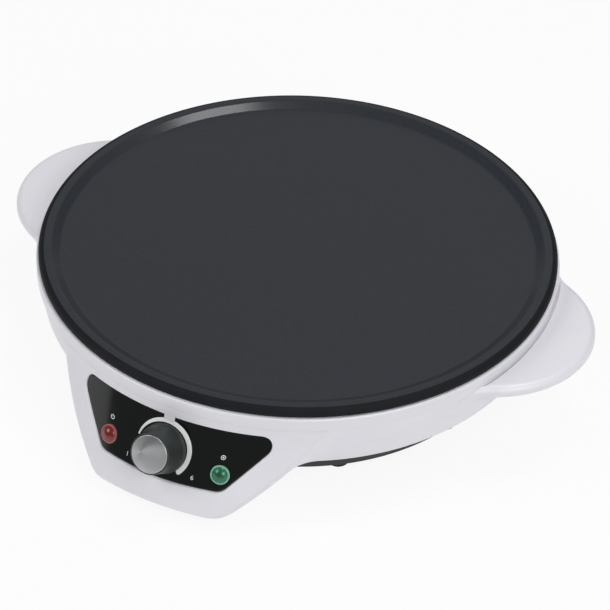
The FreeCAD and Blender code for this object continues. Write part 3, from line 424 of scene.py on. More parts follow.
# %% Lower edge and levels
edge_round = 1.6
ramp_back, ramp_front = -127.0, -151.0
curve_t = np.linspace(0, 1, 101)
curve_along = 1.5 * curve_t - 1.5 * curve_t ** 2 + curve_t ** 3
curve_fall = 3 * curve_t ** 2 - 2 * curve_t ** 3
near_edge = np.array([0, 0.06, 0.18, 0.36, 0.58, 0.8])
level_count = 44
settle_rounds = 60


def edge_line(y):
    """Height of the lower edge: level, then a Bezier S down to the nose's bottom."""
    share = np.clip((ramp_back - y) / (ramp_back - ramp_front), 0, 1)
    fall = np.interp(share, curve_along, curve_fall)
    return bowl_edge_z + (nose_bottom - bowl_edge_z) * fall


def edge_start(u):
    """Height at which each column starts, found by going back and forth between the wall's y
    at a height and the edge line's height at that y."""
    z = np.full_like(u, (bowl_edge_z + nose_bottom) / 2)
    for _ in range(settle_rounds):
        z = 0.5 * z + 0.5 * edge_line(flank(u, z, 0.0)[..., 1])
    return z


def levels(start):
    """Heights from the start to the ring: a few close together on the rounded edge, then even."""
    first = start + edge_round * near_edge[:, None]
    share = np.linspace(0, 1, level_count)[:, None]
    rest = start + edge_round + (ring_bottom - start - edge_round) * share
    return np.concatenate([first, rest])


def drawn_in(z, start):
    """Quarter-circle inset over the first millimetres above the edge."""
    share = np.clip((z - start) / edge_round, 0, 1)
    return edge_round * (1 - np.sqrt(1 - (1 - share) ** 2))


u_flank = np.concatenate([np.linspace(0, 1, 17)[:-1], np.linspace(1, 2, 25)[:-1],
                          np.linspace(2, 3, 97)])
start_z = edge_start(u_flank)
z_flank = levels(start_z)
u_grid = u_flank + 0 * z_flank
flank_outer = flank(u_grid, z_flank, drawn_in(z_flank, start_z))
flank_inner = flank(u_grid, z_flank, np.full_like(z_flank, wall))
print("flank grid", flank_outer.shape[:2])

# %% [markdown]
# ## Outlines with even points
#
# The panel is a rounded trapezium with a sagging foot. Its outline is needed several times, a
# little larger for the window and a little smaller for the panel's face. Scaling it would thin
# the border at its long sides, so a helper moves every side outward by the same amount, and
# another spreads points along each run so that the copies match point for point.

# %% Outline helpers
def along(path, shares):
    """Points at shares 0 to 1 of the length of a path of short straight runs."""
    reach = np.concatenate([[0], np.cumsum(np.hypot(*np.diff(path, axis=0).T))])
    return np.stack([np.interp(shares * reach[-1], reach, path[:, i]) for i in range(2)], axis=1)


def grown(points, amount):
    """A convex outline, given clockwise, with every side moved outward by an amount: each
    corner moves along the sum of its two unit normals over one plus their product."""
    ahead = np.roll(points, -1, axis=0) - points
    ahead /= np.hypot(*ahead.T)[:, None]
    normal = np.stack([-ahead[:, 1], ahead[:, 0]], axis=1)
    before = np.roll(normal, 1, axis=0)
    share = 1 + np.sum(normal * before, axis=1, keepdims=True)
    return points + amount * (normal + before) / share


square = np.array([[1.0, 1.0], [1.0, -1.0], [-1.0, -1.0], [-1.0, 1.0]])
print("a square grown by 0.5 has its first corner at", grown(square, 0.5)[0])

# %% [markdown]
# ## The nose's front and its window
#
# The panel sits in a window in the nose. A window in a curved wall can be cut with a Boolean,
# but that leaves long faces with uneven shading. Here the wall is a band of grid between two
# loops, the window's outline and the nose's border, so the rows flow round the opening. Both
# loops are drawn for the right half only and mirrored. A small tab hangs into the window.

# %% Window outline
panel_top, panel_bottom, panel_sag = 59.4, 24.1, 1.3
panel_half_top, panel_half_foot = 71.2, 41.0
panel_corner_top, panel_corner_foot, panel_foot_arc = 6.5, 8.0, 400.0
tab_half, tab_drop = 3.5, 2.6
window_gap = 0.35
corner_steps = 24
tab_steps, tab_side_steps, top_steps, foot_steps = 6, 5, 34, 30
top_count = tab_steps + tab_side_steps + top_steps
side_z = levels(np.array([nose_bottom]))[::-1, 0]
side_shares = (ring_bottom - side_z) / (ring_bottom - nose_bottom)


def panel_loop(grow, tab_gap):
    """Right half of the panel's outline in front view, clockwise from the tab's middle to the
    middle of the foot: a rounded trapezium with a sagging foot, and the tab's notch on top."""
    corners = np.array([[panel_half_top, panel_top], [panel_half_foot, panel_bottom],
                        [0, panel_bottom - panel_sag],
                        [-panel_half_foot, panel_bottom], [-panel_half_top, panel_top]])
    radii = [panel_corner_top, panel_corner_foot, panel_foot_arc, panel_corner_foot, panel_corner_top]
    path = rounded([(*c, r + grow) for c, r in zip(grown(corners, grow), radii)], closed=True,
                   steps=corner_steps)
    half = corner_steps // 2
    foot_right, foot_middle = corner_steps + 1 + half, 2 * (corner_steps + 1) + half
    low, side, top = panel_top - tab_drop - tab_gap, tab_half + tab_gap, panel_top + grow
    runs = [np.array([[0, low], [side, low]]), np.array([[side, low], [side, top]]),
            np.concatenate([[[side, top]], path[:half + 1]]),
            path[half:foot_right + 1], path[foot_right:foot_middle + 1]]
    spacings = [np.linspace(0, 1, count) for count in (tab_steps, tab_side_steps, top_steps)]
    spacings += [side_shares, np.linspace(0, 1, foot_steps)]
    return np.concatenate([along(run, shares) for run, shares in zip(runs, spacings)])


def border_loop():
    """Right half of the nose's border as angle and height, at the same stations: along the
    ring, down the corner's start and back along the bottom."""
    tab_angle = math.asin(tab_half / ring_radius)
    high, low = float(nose_angle(ring_bottom)), float(nose_angle(nose_bottom))
    beside = 1.6 * tab_angle
    angles = [np.linspace(0, tab_angle, tab_steps), np.linspace(tab_angle, beside, tab_side_steps),
              np.linspace(beside, high, top_steps), nose_angle(side_z), np.linspace(low, 0, foot_steps)]
    heights = [np.full(top_count, ring_bottom), side_z, np.full(foot_steps, nose_bottom)]
    return np.stack([np.concatenate(angles), np.concatenate(heights)], axis=1)


print("stations of half a loop:", len(border_loop()), "and", len(panel_loop(0, 0)))

# %% [markdown]
# ## Bowl and nose in one shell
#
# The moulding has an outer and an inner side, a lip round the window, and a rim along the bottom
# and the top. A Solidify modifier could give the wall, but it would swell the corners. We write
# both sides from the same formulas with another inset, and join them with two-row strips.

# %% Bowl and nose
lip_round = 0.5


def front(angle, z, inset):
    """Point on the nose's front: (r sin a, -r cos a, z), with r the nose's radius less an inset."""
    r = nose_radius(z) - inset
    return np.stack([r * np.sin(angle), -r * np.cos(angle), z + 0 * angle], axis=-1)


def as_angles(loop):
    """A loop in front view as angle and height: the angle's sine is x over the nose's radius."""
    return np.stack([np.arcsin(loop[:, 0] / nose_radius(loop[:, 1])), loop[:, 1]], axis=1)


def band(inner_loop, outer_loop, shares):
    """Rows between two loops: inner + (outer - inner) times each share."""
    rows = inner_loop[None] + (outer_loop - inner_loop)[None] * shares[:, None, None]
    return rows[..., 0], rows[..., 1]


border = border_loop()
window = [(window_gap, wall), (window_gap, lip_round), (window_gap + 0.3 * lip_round, 0.3 * lip_round),
          (window_gap + lip_round, 0.0)]
reveal = []
for grow, sink in window:
    edge = as_angles(panel_loop(grow, window_gap - grow))
    reveal.append(front(edge[:, 0], edge[:, 1], sink))
shares = np.concatenate([np.linspace(0, 0.88, 12), np.linspace(0.9, 1, 9)])
angle, z = band(as_angles(panel_loop(window_gap + lip_round, -lip_round)), border, shares)
front_outer = np.concatenate([np.stack(reveal), front(angle, z, drawn_in(z, nose_bottom))])
angle, z = band(as_angles(panel_loop(window_gap, 0.0)), border, np.linspace(1, 0, 8))
front_inner = front(angle, z, wall)
front_top = np.stack([front_outer[-1, :top_count], front_inner[0, :top_count]])
front_foot = np.stack([front_outer[-1, -foot_steps:], front_inner[0, -foot_steps:]])
flank_foot = np.stack([flank_outer[0], flank_inner[0]])
flank_top = np.stack([flank_outer[-1], flank_inner[-1]])
right_half = [front_outer, front_inner, front_top, front_foot, flank_outer, flank_inner,
              flank_foot, flank_top]
piece("housing_bowl", [*right_half, *[mirrored(side) for side in right_half]], body="base",
      replaced=["housing"])

# %% [markdown]
# ## The ring under the plate
#
# The top of the housing is a level ring that the plate's edge overhangs. It is round all the
# way, so it is turned like the plate: a small closed section with a soft upper corner.

# %% Ring
ring_inside = 162.5
ring_profile = rounded([(ring_inside, ring_bottom), (ring_radius, ring_bottom, 0.2),
                        (ring_radius, ring_top, 1.3), (ring_inside, ring_top, 0.4)], closed=True)
piece("housing_ring", [turned(ring_profile, steps=256)], body="base")

# %% [markdown]
# ## The handles
#
# Each handle grows out of the ring as a thin shell: the top is flat, its edge bends down in a
# generous round, and the underside is hollowed for the fingers. A bevelled slab would show its
# seams where it meets the ring. Here one closed loop, drawn at several insets and heights, gives
# the whole shell, and its roots run out along the ring until they have sunk into it.

# %% Plan of a handle
handle_radius, handle_root, handle_tip = 65.0, 30.0, 200.0
handle_centre = handle_tip - handle_radius
handle_top = ring_top - 7.0
handle_round, handle_wall = 4.6, 2.5
handle_inside = 162.0
handle_land = bowl_radius + 1.2
root_steps, tip_steps, run_steps = 28, 72, 13
run_least, run_gain, lift_least = 0.012, 0.048, 0.06
spine_radius = 170.0
spine_turn = math.radians(13.0)


def polar(r, a):
    """Flat points (r cos a, r sin a)."""
    return np.stack([r * np.cos(a), r * np.sin(a)], axis=1)


def handle_loop(inset, land):
    """Plan of a handle, inset from its outline: hollow root arc, round tip, other root arc, and
    an arc round the axis that closes it inside the wall. A root arc starts where it meets a
    circle round the axis, found by the law of cosines. Before it the plan runs out along the
    ring and sinks into the wall by half a cosine wave, so that no blunt end shows."""
    far = ring_radius + handle_root
    apart = handle_radius + handle_root
    root_x = (far ** 2 - apart ** 2 + handle_centre ** 2) / (2 * handle_centre)
    root_y = math.sqrt(far ** 2 - root_x ** 2)
    root_r, tip_r = handle_root + inset, handle_radius - inset
    start_r = max(land, ring_radius - inset)
    past = math.acos(min(1.0, (far ** 2 + root_r ** 2 - start_r ** 2) / (2 * far * root_r)))
    to_axis, to_tip = math.atan2(-root_y, -root_x), math.atan2(-root_y, handle_centre - root_x)
    upper = polar(root_r, np.linspace(to_axis + past, to_tip, root_steps)) + [root_x, root_y]
    tip = polar(tip_r, np.linspace(to_tip + math.pi, -to_tip - math.pi, tip_steps))
    tip += [handle_centre, 0]
    swing = math.atan2(upper[0, 1], upper[0, 0])
    run_out = run_least + run_gain * (start_r - land)
    share = np.linspace(1, 0, run_steps + 1)[:-1]
    r = land + max(start_r - land, lift_least) * (1 + np.cos(np.pi * share)) / 2
    upper = np.concatenate([polar(r, swing + run_out * share), upper])
    lower = upper[::-1] * np.array([1, -1])
    outer = np.concatenate([upper, tip[1:], lower[1:]])
    turn = np.arctan2(outer[:, 1], outer[:, 0])
    wide = int(np.argmax(turn < spine_turn))
    turn[:wide] = np.linspace(swing + run_out, spine_turn, wide + 2)[1:-1]
    turn[-wide:] = -turn[:wide][::-1]
    return np.concatenate([outer, polar(land, turn[::-1]), outer[:1]])


plan = handle_loop(0, handle_land)
print("a handle's plan has", len(plan), "points and reaches", round(plan[:, 0].max(), 1), "mm")

# %% [markdown]
# ## Underside and step line
#
# Seen from the front, a handle is thicker at its root than at its tip, and a fine step parts its
# top from the ring. The step could be a bump in the material, but light from the side would show
# that it is flat. It is real depth here, as a soft groove that fades out before the roots.

# %% Underside and step line
handle_depth_root, handle_depth_tip = 6.8, 5.6
groove_depth, groove_start, groove_width = 2.0, 0.5, 0.9
groove_end, groove_fade = 18.0, 4.0


def handle_under(x):
    """Height of the handle's underside: a little nearer the top at the tip than at the bowl."""
    share = (x - bowl_radius) / (handle_tip - bowl_radius)
    return handle_top - handle_depth_root + (handle_depth_root - handle_depth_tip) * share


def groove(loop):
    """Depth of the step line that parts the handle's top from the ring: full beside the ring,
    and gone 1.4 mm out, by the square of a falling cosine. It fades the same way over 4 degrees
    before the roots."""
    r, turn = np.hypot(loop[:, 0], loop[:, 1]), np.arctan2(np.abs(loop[:, 1]), loop[:, 0])
    out = np.clip((r - ring_radius - groove_start) / groove_width, 0, 1)
    end = np.clip((np.degrees(turn) - groove_end) / groove_fade, 0, 1)
    return groove_depth * np.cos(out * np.pi / 2) ** 2 * np.cos(end * np.pi / 2) ** 2


beside_ring = np.array([[ring_radius, 0.0], [handle_tip, 0.0]])
print("step line beside the ring and at the tip:", groove(beside_ring).round(2), "mm deep")

# %% [markdown]
# ## A handle's shell
#
# The rows start at the middle of the top, go over the round edge and the rim, and end at the
# middle of the hollow's ceiling. A fan of faces from one middle point would crease the flat top,
# so the rows of the top start on a middle line instead, whose points pair up side by side.

# %% Handles
rim_round = 0.6
ceiling_middle = 176.0
edge_steps, rim_steps = 9, 4
top_shares = (0.0, 0.1, 0.18, 0.22, 0.26, 0.3, 0.34, 0.38, 0.42, 0.5, 0.65, 0.82)
ceiling_corner = ((0, 0.8), (0.25, 0.2), (0.8, 0))


def spine(loop):
    """Middle line of the handle's top for each point of a loop: an arc beside the ring that ends
    before the roots. Both sides of a loop have as many points, so that they meet on it in pairs."""
    inner = loop[len(loop) // 2:-1]
    turn = np.clip(np.arctan2(inner[:, 1], inner[:, 0]), -spine_turn, spine_turn)
    return polar(spine_radius, np.concatenate([turn[::-1], turn, turn[-1:]]))


def handle_surface():
    """Closed shell of the right handle, from the middle of its top, over the round edge and the
    rim, into the tray and to the middle of its ceiling."""
    ceiling = handle_top - handle_wall
    middle = np.array([ceiling_middle, 0.0])
    quarter = np.linspace(0, np.pi / 2, rim_steps)
    rows = []

    def row(loop, height):
        """One row: a plan loop at a height, or at a height for each point."""
        rows.append(np.column_stack([loop, height + 0 * loop[:, 0]]))

    top_loop = handle_loop(handle_round, handle_inside)
    line = spine(top_loop)
    for share in top_shares:
        flat = line + (top_loop - line) * share
        row(flat, handle_top - groove(flat))
    for bend in np.linspace(0, np.pi / 2, edge_steps):
        loop = handle_loop(handle_round * (1 - math.sin(bend)), handle_inside)
        height = handle_top - handle_round * (1 - math.cos(bend))
        row(loop, np.minimum(height, handle_top - groove(loop)))
    for bend in quarter:
        loop = handle_loop(rim_round * (1 - math.cos(bend)), handle_inside)
        row(loop, handle_under(loop[:, 0]) + rim_round * (1 - math.sin(bend)))
    for bend in quarter:
        loop = handle_loop(handle_wall - rim_round * (1 - math.sin(bend)), handle_land)
        row(loop, handle_under(loop[:, 0]) + rim_round * (1 - math.cos(bend)))
    for more, below in ceiling_corner:
        row(handle_loop(handle_wall + more, handle_land), ceiling - below)
    last = rows[-1][:, :2]
    for share in (0.5, 0.0):
        row(middle + (last - middle) * share, ceiling)
    return np.stack(rows)


handle = handle_surface()
for name, surface in (("housing_handle_right", handle), ("housing_handle_left", mirrored(handle))):
    piece(name, [surface], body="base")

# %% [markdown]
# ## The inlet pad
#
# At the back the wall carries a flat round pad, on which the bush of the mains inlet seats. The
# wall is round there, so a pad pulled out of it would have an uneven edge. It is a ring of its
# own with a bore, turned about an upright axis and then laid on its side.

# %% Inlet pad
inlet_z = 40.0
pad_start, pad_reach = 152.0, 164.4
pad_bore, pad_radius = 6.0, 10.0


def about_back(surface):
    """A surface turned about +Z laid on its side, so that its axis points to the back."""
    return np.stack([surface[..., 0], surface[..., 2], inlet_z + surface[..., 1]], axis=-1)


pad_profile = rounded([(pad_bore, pad_start), (pad_radius, pad_start), (pad_radius, pad_reach, 0.8),
                       (pad_bore, pad_reach, 0.2)], closed=True)
piece("housing_inlet_pad", [about_back(turned(pad_profile, steps=64))], body="base")

# %% [markdown]
# ## The control panel
#
# The panel is a thin glossy moulding that follows the nose's cone a little below the housing's
# surface. Its rows start on the rounded trapezium and run to the middle plane, with three close
# rows that round its edge, so that the gap round it catches a fine line of light.

# %% Control panel
panel_sink, panel_thickness = 0.8, 3.0
panel_edge = [(0.0, panel_thickness), (0.0, 0.45), (-0.07, 0.2), (-0.22, 0.06), (-0.45, 0.0)]
tilt = math.atan(cone_slope)


def panel_front(x, z, depth):
    """Point of the panel a depth below its front: y is the root of r squared less x squared, with
    r the cone's radius less sink and depth along the slope's normal."""
    r = cone_at(z) - (panel_sink + depth) / math.cos(tilt)
    return np.stack([x, -np.sqrt(r ** 2 - x ** 2), z], axis=-1)


def panel_rows():
    """Half of the panel: back, side, rounded edge and front, each row from tab to foot."""
    def spread(grow, depth, shares):
        """Rows between the outline, grown by an amount, and the middle plane."""
        loop = panel_loop(grow, window_gap - grow)
        reach = np.linspace(0, 1, len(loop))
        z_middle = loop[0, 1] + (loop[-1, 1] - loop[0, 1]) * reach
        x = loop[:, 0][None] * (1 - shares[:, None])
        z = loop[:, 1][None] + (z_middle - loop[:, 1])[None] * shares[:, None]
        return panel_front(x, z, depth)

    edge = [spread(grow, depth, np.array([0.0])) for grow, depth in panel_edge]
    back = spread(*panel_edge[0], np.linspace(1, 0, 10))
    face = spread(*panel_edge[-1], np.linspace(0, 1, 26))
    return np.concatenate([back, *edge, face])


panel_half = panel_rows()
piece("panel_face", [panel_half, mirrored(panel_half)], body="base",
      replaced=["control_panel"])

# %% [markdown]
# ## A place square to the panel
#
# Knob and lamps stand square to a panel that leans back and curves round the plate. They could
# be turned as objects, but then their pattern would turn too.
# We make each about its own axis and send its points through one formula onto the panel.

# %% Setting a piece onto the panel
knob_height = 40.0


def on_panel(local, height, angle=0.0):
    """Local x runs along the panel, y up its slope and z out of it. The point is turned by the
    cone's tilt, set at the cone's radius, and turned about the plate's axis by an angle."""
    r = cone_at(height) - panel_sink / math.cos(tilt)
    x = local[..., 0]
    y = -r - math.cos(tilt) * local[..., 2] + math.sin(tilt) * local[..., 1]
    z = height + math.sin(tilt) * local[..., 2] + math.cos(tilt) * local[..., 1]
    c, s = math.cos(angle), math.sin(angle)
    return np.stack([c * x - s * y, s * x + c * y, z], axis=-1)


print("the panel leans back by", round(math.degrees(tilt), 1), "degrees")

# %% [markdown]
# ## The knob
#
# The knob is a hollow moulding with a low skirt, a side that tapers so that it leaves the mould,
# and a seat for the cap. A scaled cylinder with a bevel would round all its corners alike, while
# a turned section gives each its own. A slim ridge up the side is the pointer. The knob rides on
# the turning body, so it follows the joint.

# %% Knob
skirt_outer, skirt_top = 15.5, 2.8
side_foot, side_head, knob_face = 14.9, 12.7, 18.2
seat_radius, seat_z = 11.9, 17.5
hollow_foot, hollow_head, hollow_z, skirt_gap = 13.1, 10.9, 15.0, 0.6
pointer_lean = 0.14194
pointer_from, pointer_run, pointer_proud, pointer_half = 3.0, 13.6, 0.8, 0.85
pointer_angle = math.radians(210.0)
knob_profile = rounded([(0, hollow_z), (hollow_head, hollow_z), (hollow_foot, skirt_gap),
                        (skirt_outer, skirt_gap, 0.3), (skirt_outer, skirt_top, 0.6),
                        (side_foot, skirt_top, 0.4),
                        (side_head, knob_face, 0.7), (seat_radius, knob_face, 0.15),
                        (seat_radius, seat_z), (0, seat_z)])


def pointer_ridge():
    """Ridge up the knob's side. Along it the height above the panel goes from skirt to face,
    across it a half ellipse stands proud of the side, and both ends run into the knob."""
    along_side = np.linspace(0, 1, 24)[:, None]
    across = np.linspace(0, 2 * np.pi, 25)[None]
    swell = np.sqrt(np.clip(1 - (2 * along_side - 1) ** 8, 0, 1))
    height = pointer_from + pointer_run * along_side
    out = side_foot - (height - skirt_top) * pointer_lean + pointer_proud * swell * np.sin(across)
    wide = pointer_half * swell * np.cos(across)
    c, s = math.cos(pointer_angle), math.sin(pointer_angle)
    return np.stack([c * out - s * wide, s * out + c * wide, height + 0 * across], axis=-1)


piece("knob_grip", [on_panel(turned(knob_profile, steps=128), knob_height)], body="knob",
      replaced=["knob_body"])
piece("knob_pointer", [on_panel(pointer_ridge(), knob_height)], body="knob")

# %% [markdown]
# ## The knob's cap
#
# A thin aluminium disc is pressed into the knob's seat. It is turned as a closed disc with many
# steps round, because its mirror-like edge shows every corner of a coarse circle.

# %% Knob cap
cap_radius, cap_under, cap_top = 11.8, 17.45, 18.6
cap_profile = rounded([(0, cap_under), (cap_radius, cap_under, 0.1), (cap_radius, cap_top, 0.5),
                       (0, cap_top)])
piece("knob_disc", [on_panel(turned(cap_profile, steps=160), knob_height)], body="knob",
      replaced=["knob_cap"])

# %% [markdown]
# ## The lamps' lenses
#
# A lens is one small moulding: a shank in the panel's hole, a flange that covers the hole's
# edge, and a low dome. A squashed ball would meet the flange at a wrong angle, so the dome is
# cut from a true sphere whose size follows from the dome's width and rise.

# %% Lamps
lamp_arc, lamp_height = 38.6, 34.1
lamp_angle = lamp_arc / cone_at(lamp_height)
dome_radius, dome_rise = 4.7, 2.2
shank_radius, shank_depth = 4.4, 2.5
flange_radius, flange_height = 6.0, 1.1


def lens_profile():
    """Half section of a lens: shank, flange, and a dome that is part of a sphere, whose radius is
    (half width squared plus rise squared) over twice the rise."""
    sphere = (dome_radius ** 2 + dome_rise ** 2) / (2 * dome_rise)
    half_angle = math.asin(dome_radius / sphere)
    a = np.linspace(half_angle, 0, 16)
    dome_top = flange_height + dome_rise
    dome = np.stack([sphere * np.sin(a), dome_top - sphere * (1 - np.cos(a))], axis=1)
    body = rounded([(0, -shank_depth), (shank_radius, -shank_depth), (shank_radius, 0.0),
                    (flange_radius, 0.0), (flange_radius, flange_height, 0.45),
                    (dome_radius, flange_height)])
    return np.concatenate([body, dome])


lens = turned(lens_profile(), steps=72)
for name, side, slot, node in (("lens_red", -1, "red_lens", "power_lamp_lens"),
                               ("lens_green", 1, "green_lens", "ready_lamp_lens")):
    piece(name, [on_panel(lens, lamp_height, side * lamp_angle)], body="base",
          replaced=[node])

# %% [markdown]
# ## A film of print
#
# The panel is pad-printed in white. A picture on the panel could carry the print, but its edges
# would blur up close. Each mark is real here: a closed film with almost no height, wrapped onto
# the cone a few hundredths of a millimetre proud of it.

# %% Wrapping a print onto the panel
print_height, print_root = 0.05, -0.02


def on_print(x, up, lift):
    """A flat print point on the cone: up is measured along the slope from the knob's height, and x
    is the arc length round the plate's axis."""
    z = knob_height + up * math.cos(tilt)
    r = cone_at(z) - (panel_sink - lift) / math.cos(tilt)
    angle = x / cone_at(z)
    return np.stack([r * np.sin(angle), -r * np.cos(angle), z + 0 * x], axis=-1)


def film(outer, inner, ends=True):
    """Closed strip between two lines of print points: outer edge up, across, down and back. Its
    ends shrink to the mean of their corners, unless it runs round in a ring."""
    rows = [(outer, print_root), (outer, print_height), (inner, print_height), (inner, print_root),
            (outer, print_root)]
    strip = np.stack([on_print(line[:, 0], line[:, 1], lift) for line, lift in rows])
    if not ends:
        return strip
    first = np.repeat(strip[:4, :1].mean(axis=0)[None], 5, axis=0)
    last = np.repeat(strip[:4, -1:].mean(axis=0)[None], 5, axis=0)
    return np.concatenate([first, strip, last], axis=1)


print("the film stands", print_height, "mm proud of the panel")

# %% [markdown]
# ## The scale and the lamps' marks
#
# The scale is a crescent that swells clockwise round the knob, and over each lamp stands a plain
# mark. Cutting them from a disc would need Booleans. Each is a strip between two lines of print
# points instead: arcs for the crescent and the circles, straight lines for the bar.

# %% Scale and lamp marks
scale_radius, scale_width = 18.7, 3.0
scale_from, scale_to = math.radians(172.0), math.radians(-47.0)
swell_start, swell_share = 0.35, 0.55
close_from, close_to = 0.985, 1.0001
mark_height, mark_radius, mark_line = 43.9, 1.5, 0.4
mark_up = (mark_height - knob_height) / math.cos(tilt)


def crescent():
    """Arc about the knob whose width grows with the sine of a quarter turn over its first part,
    from a third of its full width, and closes in a half ellipse at its end."""
    share = np.linspace(0, 1, 121)
    a = scale_from + (scale_to - scale_from) * share
    grow = np.sin(np.clip(share / swell_share, 0, 1) * np.pi / 2)
    swell = swell_start + (1 - swell_start) * grow
    past = np.clip((share - close_from) / (close_to - close_from), 0, 1)
    close = np.sqrt(1 - past ** 2)
    width = scale_width * swell * close
    outer_r = scale_radius - 0.5 * scale_width * (1 - close)
    return film(polar(outer_r, a), polar(outer_r - width, a))


def ring_mark(x, up, radius, width, gap=0.0):
    """Thin circle round a point, open at its top by a gap in radians."""
    a = np.linspace(np.pi / 2 + gap / 2, np.pi / 2 - gap / 2 + 2 * np.pi, 49)
    return film(polar(radius, a) + [x, up], polar(radius - width, a) + [x, up], ends=gap > 0)


def bar_mark(x, up, length, width):
    """Short upright bar with its middle at a point."""
    y = np.linspace(up - length / 2, up + length / 2, 5)
    half = np.full(5, width / 2)
    return film(np.stack([x - half, y], axis=1), np.stack([x + half, y], axis=1))


left_x, right_x = -39.0, 38.2
bar_lift, bar_length = 0.9, 1.7
dot_radius, dot_line = 0.55, 0.53
marks = [crescent(), ring_mark(left_x, mark_up, mark_radius, mark_line, gap=1.3),
         bar_mark(left_x, mark_up + bar_lift, bar_length, mark_line),
         ring_mark(right_x, mark_up, mark_radius, mark_line),
         ring_mark(right_x, mark_up, dot_radius, dot_line)]
piece("scale_print", marks, body="base")

# %% [markdown]
# ## The numbers
#
# Plain numbers stand at the two ends of the scale. Blender's text makes their outlines, which
# are turned into a mesh and then wrapped onto the cone point by point, as the marks are.

# %% Numbers
number_size, number_height, number_drop = 4.2, 28.6, 1.2
number_up = (number_height - knob_height) / math.cos(tilt) - number_drop


def number(text, x):
    """A plain numeral made as a mesh, then wrapped onto the cone: its flat x and y are print
    points and its thickness is the print's height."""
    curve = bpy.data.curves.new("numeral", "FONT")
    curve.body = text
    curve.size = number_size
    curve.extrude = print_height / 2
    curve.align_x = "CENTER"
    flat = shown("numeral", curve)
    mesh = bpy.data.meshes.new_from_object(flat)
    bpy.data.objects.remove(flat)
    co = values(mesh.vertices, "co")
    wrapped = placed(on_print(x + co[:, 0], number_up + co[:, 1], co[:, 2] + print_height / 2))
    mesh.vertices.foreach_set("co", wrapped.ravel())
    return closed_piece("numeral_" + text, mesh, "base")


numerals = [number("1", -22.9), number("6", 22.0)]

# %% [markdown]
# ## Finishes
#
# A finish starts from the real material and how its surface was made. One function turns the
# sRGB hex of a colour chart to linear light, and one adds a node with its settings and links.
# Patterns read Object coordinates in metres, so a grain of a given size in millimetres needs
# a scale of 1000 over that size.

# %% Colour and node helpers
def linear(colour):
    """Linear light of an sRGB hex: c / 12.92 below 0.04045, else ((c + 0.055) / 1.055) to 2.4."""
    c = np.array([int(colour[i:i + 2], 16) for i in (1, 3, 5)]) / 255
    light = np.where(c <= 0.04045, c / 12.92, ((c + 0.055) / 1.055) ** 2.4)
    return (*light.tolist(), 1.0)


def per_metre(size):
    """Texture scale for a pattern of a size in millimetres."""
    return 1000.0 / size


def add(tree, kind, inputs=None, **settings):
    """Adds a node, sets its attributes, and fills or links its inputs."""
    made = tree.nodes.new(kind)
    for key, value in settings.items():
        setattr(made, key, value)
    for key, value in (inputs or {}).items():
        if isinstance(value, bpy.types.NodeSocket):
            tree.links.new(value, made.inputs[key])
        else:
            made.inputs[key].default_value = value
    return made


def new_finish(name, **constants):
    """A material whose shader has constants on its own sockets. Returns it, its tree and shader."""
    material = bpy.data.materials.new(name)
    material.use_nodes = True
    shader = material.node_tree.nodes["Principled BSDF"]
    for key, value in constants.items():
        shader.inputs[key.replace("_", " ")].default_value = value
    return material, material.node_tree, shader


print("white in linear light:", [round(v, 3) for v in linear("#E9E9EE")[:3]])

# %% [markdown]
# ## What most finishes share
#
# A moulded, rolled or turned surface is never quite even: its colour drifts, and its grain moves
# the gloss and lifts the surface a little. One function wires that for every finish, from two
# patterns. Each finish then only says what its patterns are and how strong they show.

# %% A textured finish
plastic_grain_depth, metal_grain_depth = 0.0002, 0.0001


def textured(tree, shader, tone, grain, colours, roughness, relief, depth):
    """Colour between two hexes by the tone, roughness between two values by the grain, and a
    bump of the grain with a strength and a depth in metres."""
    dark, light = colours
    low, high = roughness
    tint = add(tree, "ShaderNodeMix", {"Factor": tone, "A": linear(dark), "B": linear(light)},
               data_type="RGBA")
    rough = add(tree, "ShaderNodeMapRange", {"Value": grain, "To Min": low, "To Max": high})
    bump = add(tree, "ShaderNodeBump", {"Height": grain, "Strength": relief, "Distance": depth})
    tree.links.new(tint.outputs["Result"], shader.inputs["Base Color"])
    tree.links.new(rough.outputs["Result"], shader.inputs["Roughness"])
    tree.links.new(bump.outputs["Normal"], shader.inputs["Normal"])


def wear(made, *materials):
    """Gives a piece its finish."""
    made.data.materials.clear()
    for material in materials:
        made.data.materials.append(material)


print("pieces that wait for a finish:", len(pieces))

# %% [markdown]
# ## White housing
#
# The housing is moulded in white ABS. The mould is polished, so the surface is satin with a
# soft highlight, a trace of cool tint from the pigment, and a slow unevenness where the walls
# shrank over the ribs. Noise of about a finger's width moves colour and roughness a little, and
# a fine bump keeps the highlight from looking like glass.

# %% White ABS
def moulded(name, dark, light, grain, low, high, relief, cloud=None, **constants):
    """A plastic whose colour moves slowly between two hexes, over the cloud's size or twenty
    grains, with a grain in millimetres that moves the roughness and lifts the surface."""
    material, tree, shader = new_finish(name, **constants)
    place = add(tree, "ShaderNodeTexCoord").outputs["Object"]
    slow = add(tree, "ShaderNodeTexNoise",
               {"Vector": place, "Scale": per_metre(cloud or 20 * grain), "Detail": 2.0})
    fine = add(tree, "ShaderNodeTexNoise", {"Vector": place, "Scale": per_metre(grain), "Detail": 3.0})
    textured(tree, shader, slow.outputs["Fac"], fine.outputs["Fac"], (dark, light), (low, high),
             relief, plastic_grain_depth)
    return material


white_abs = moulded("white_abs_moulded", "#E6E4EA", "#ECEBF0", 1.4, 0.3, 0.42, 0.05, cloud=45,
                    IOR=1.53, Coat_Weight=0.08, Coat_Roughness=0.25)
for name, made in pieces.items():
    if name.startswith("housing"):
        wear(made, white_abs)
print("white ABS on", white_abs.users, "pieces")

# %% [markdown]
# ## Non-stick plate
#
# The casting is blasted and sprayed with a dark grey PTFE coat. Sprayed PTFE dries matt with a
# fine speckle of lighter filler, and it feels like very fine orange peel. The speckle is about
# 0.5 mm on the real plate and is drawn at 1.3 mm, so that it shows at this distance.

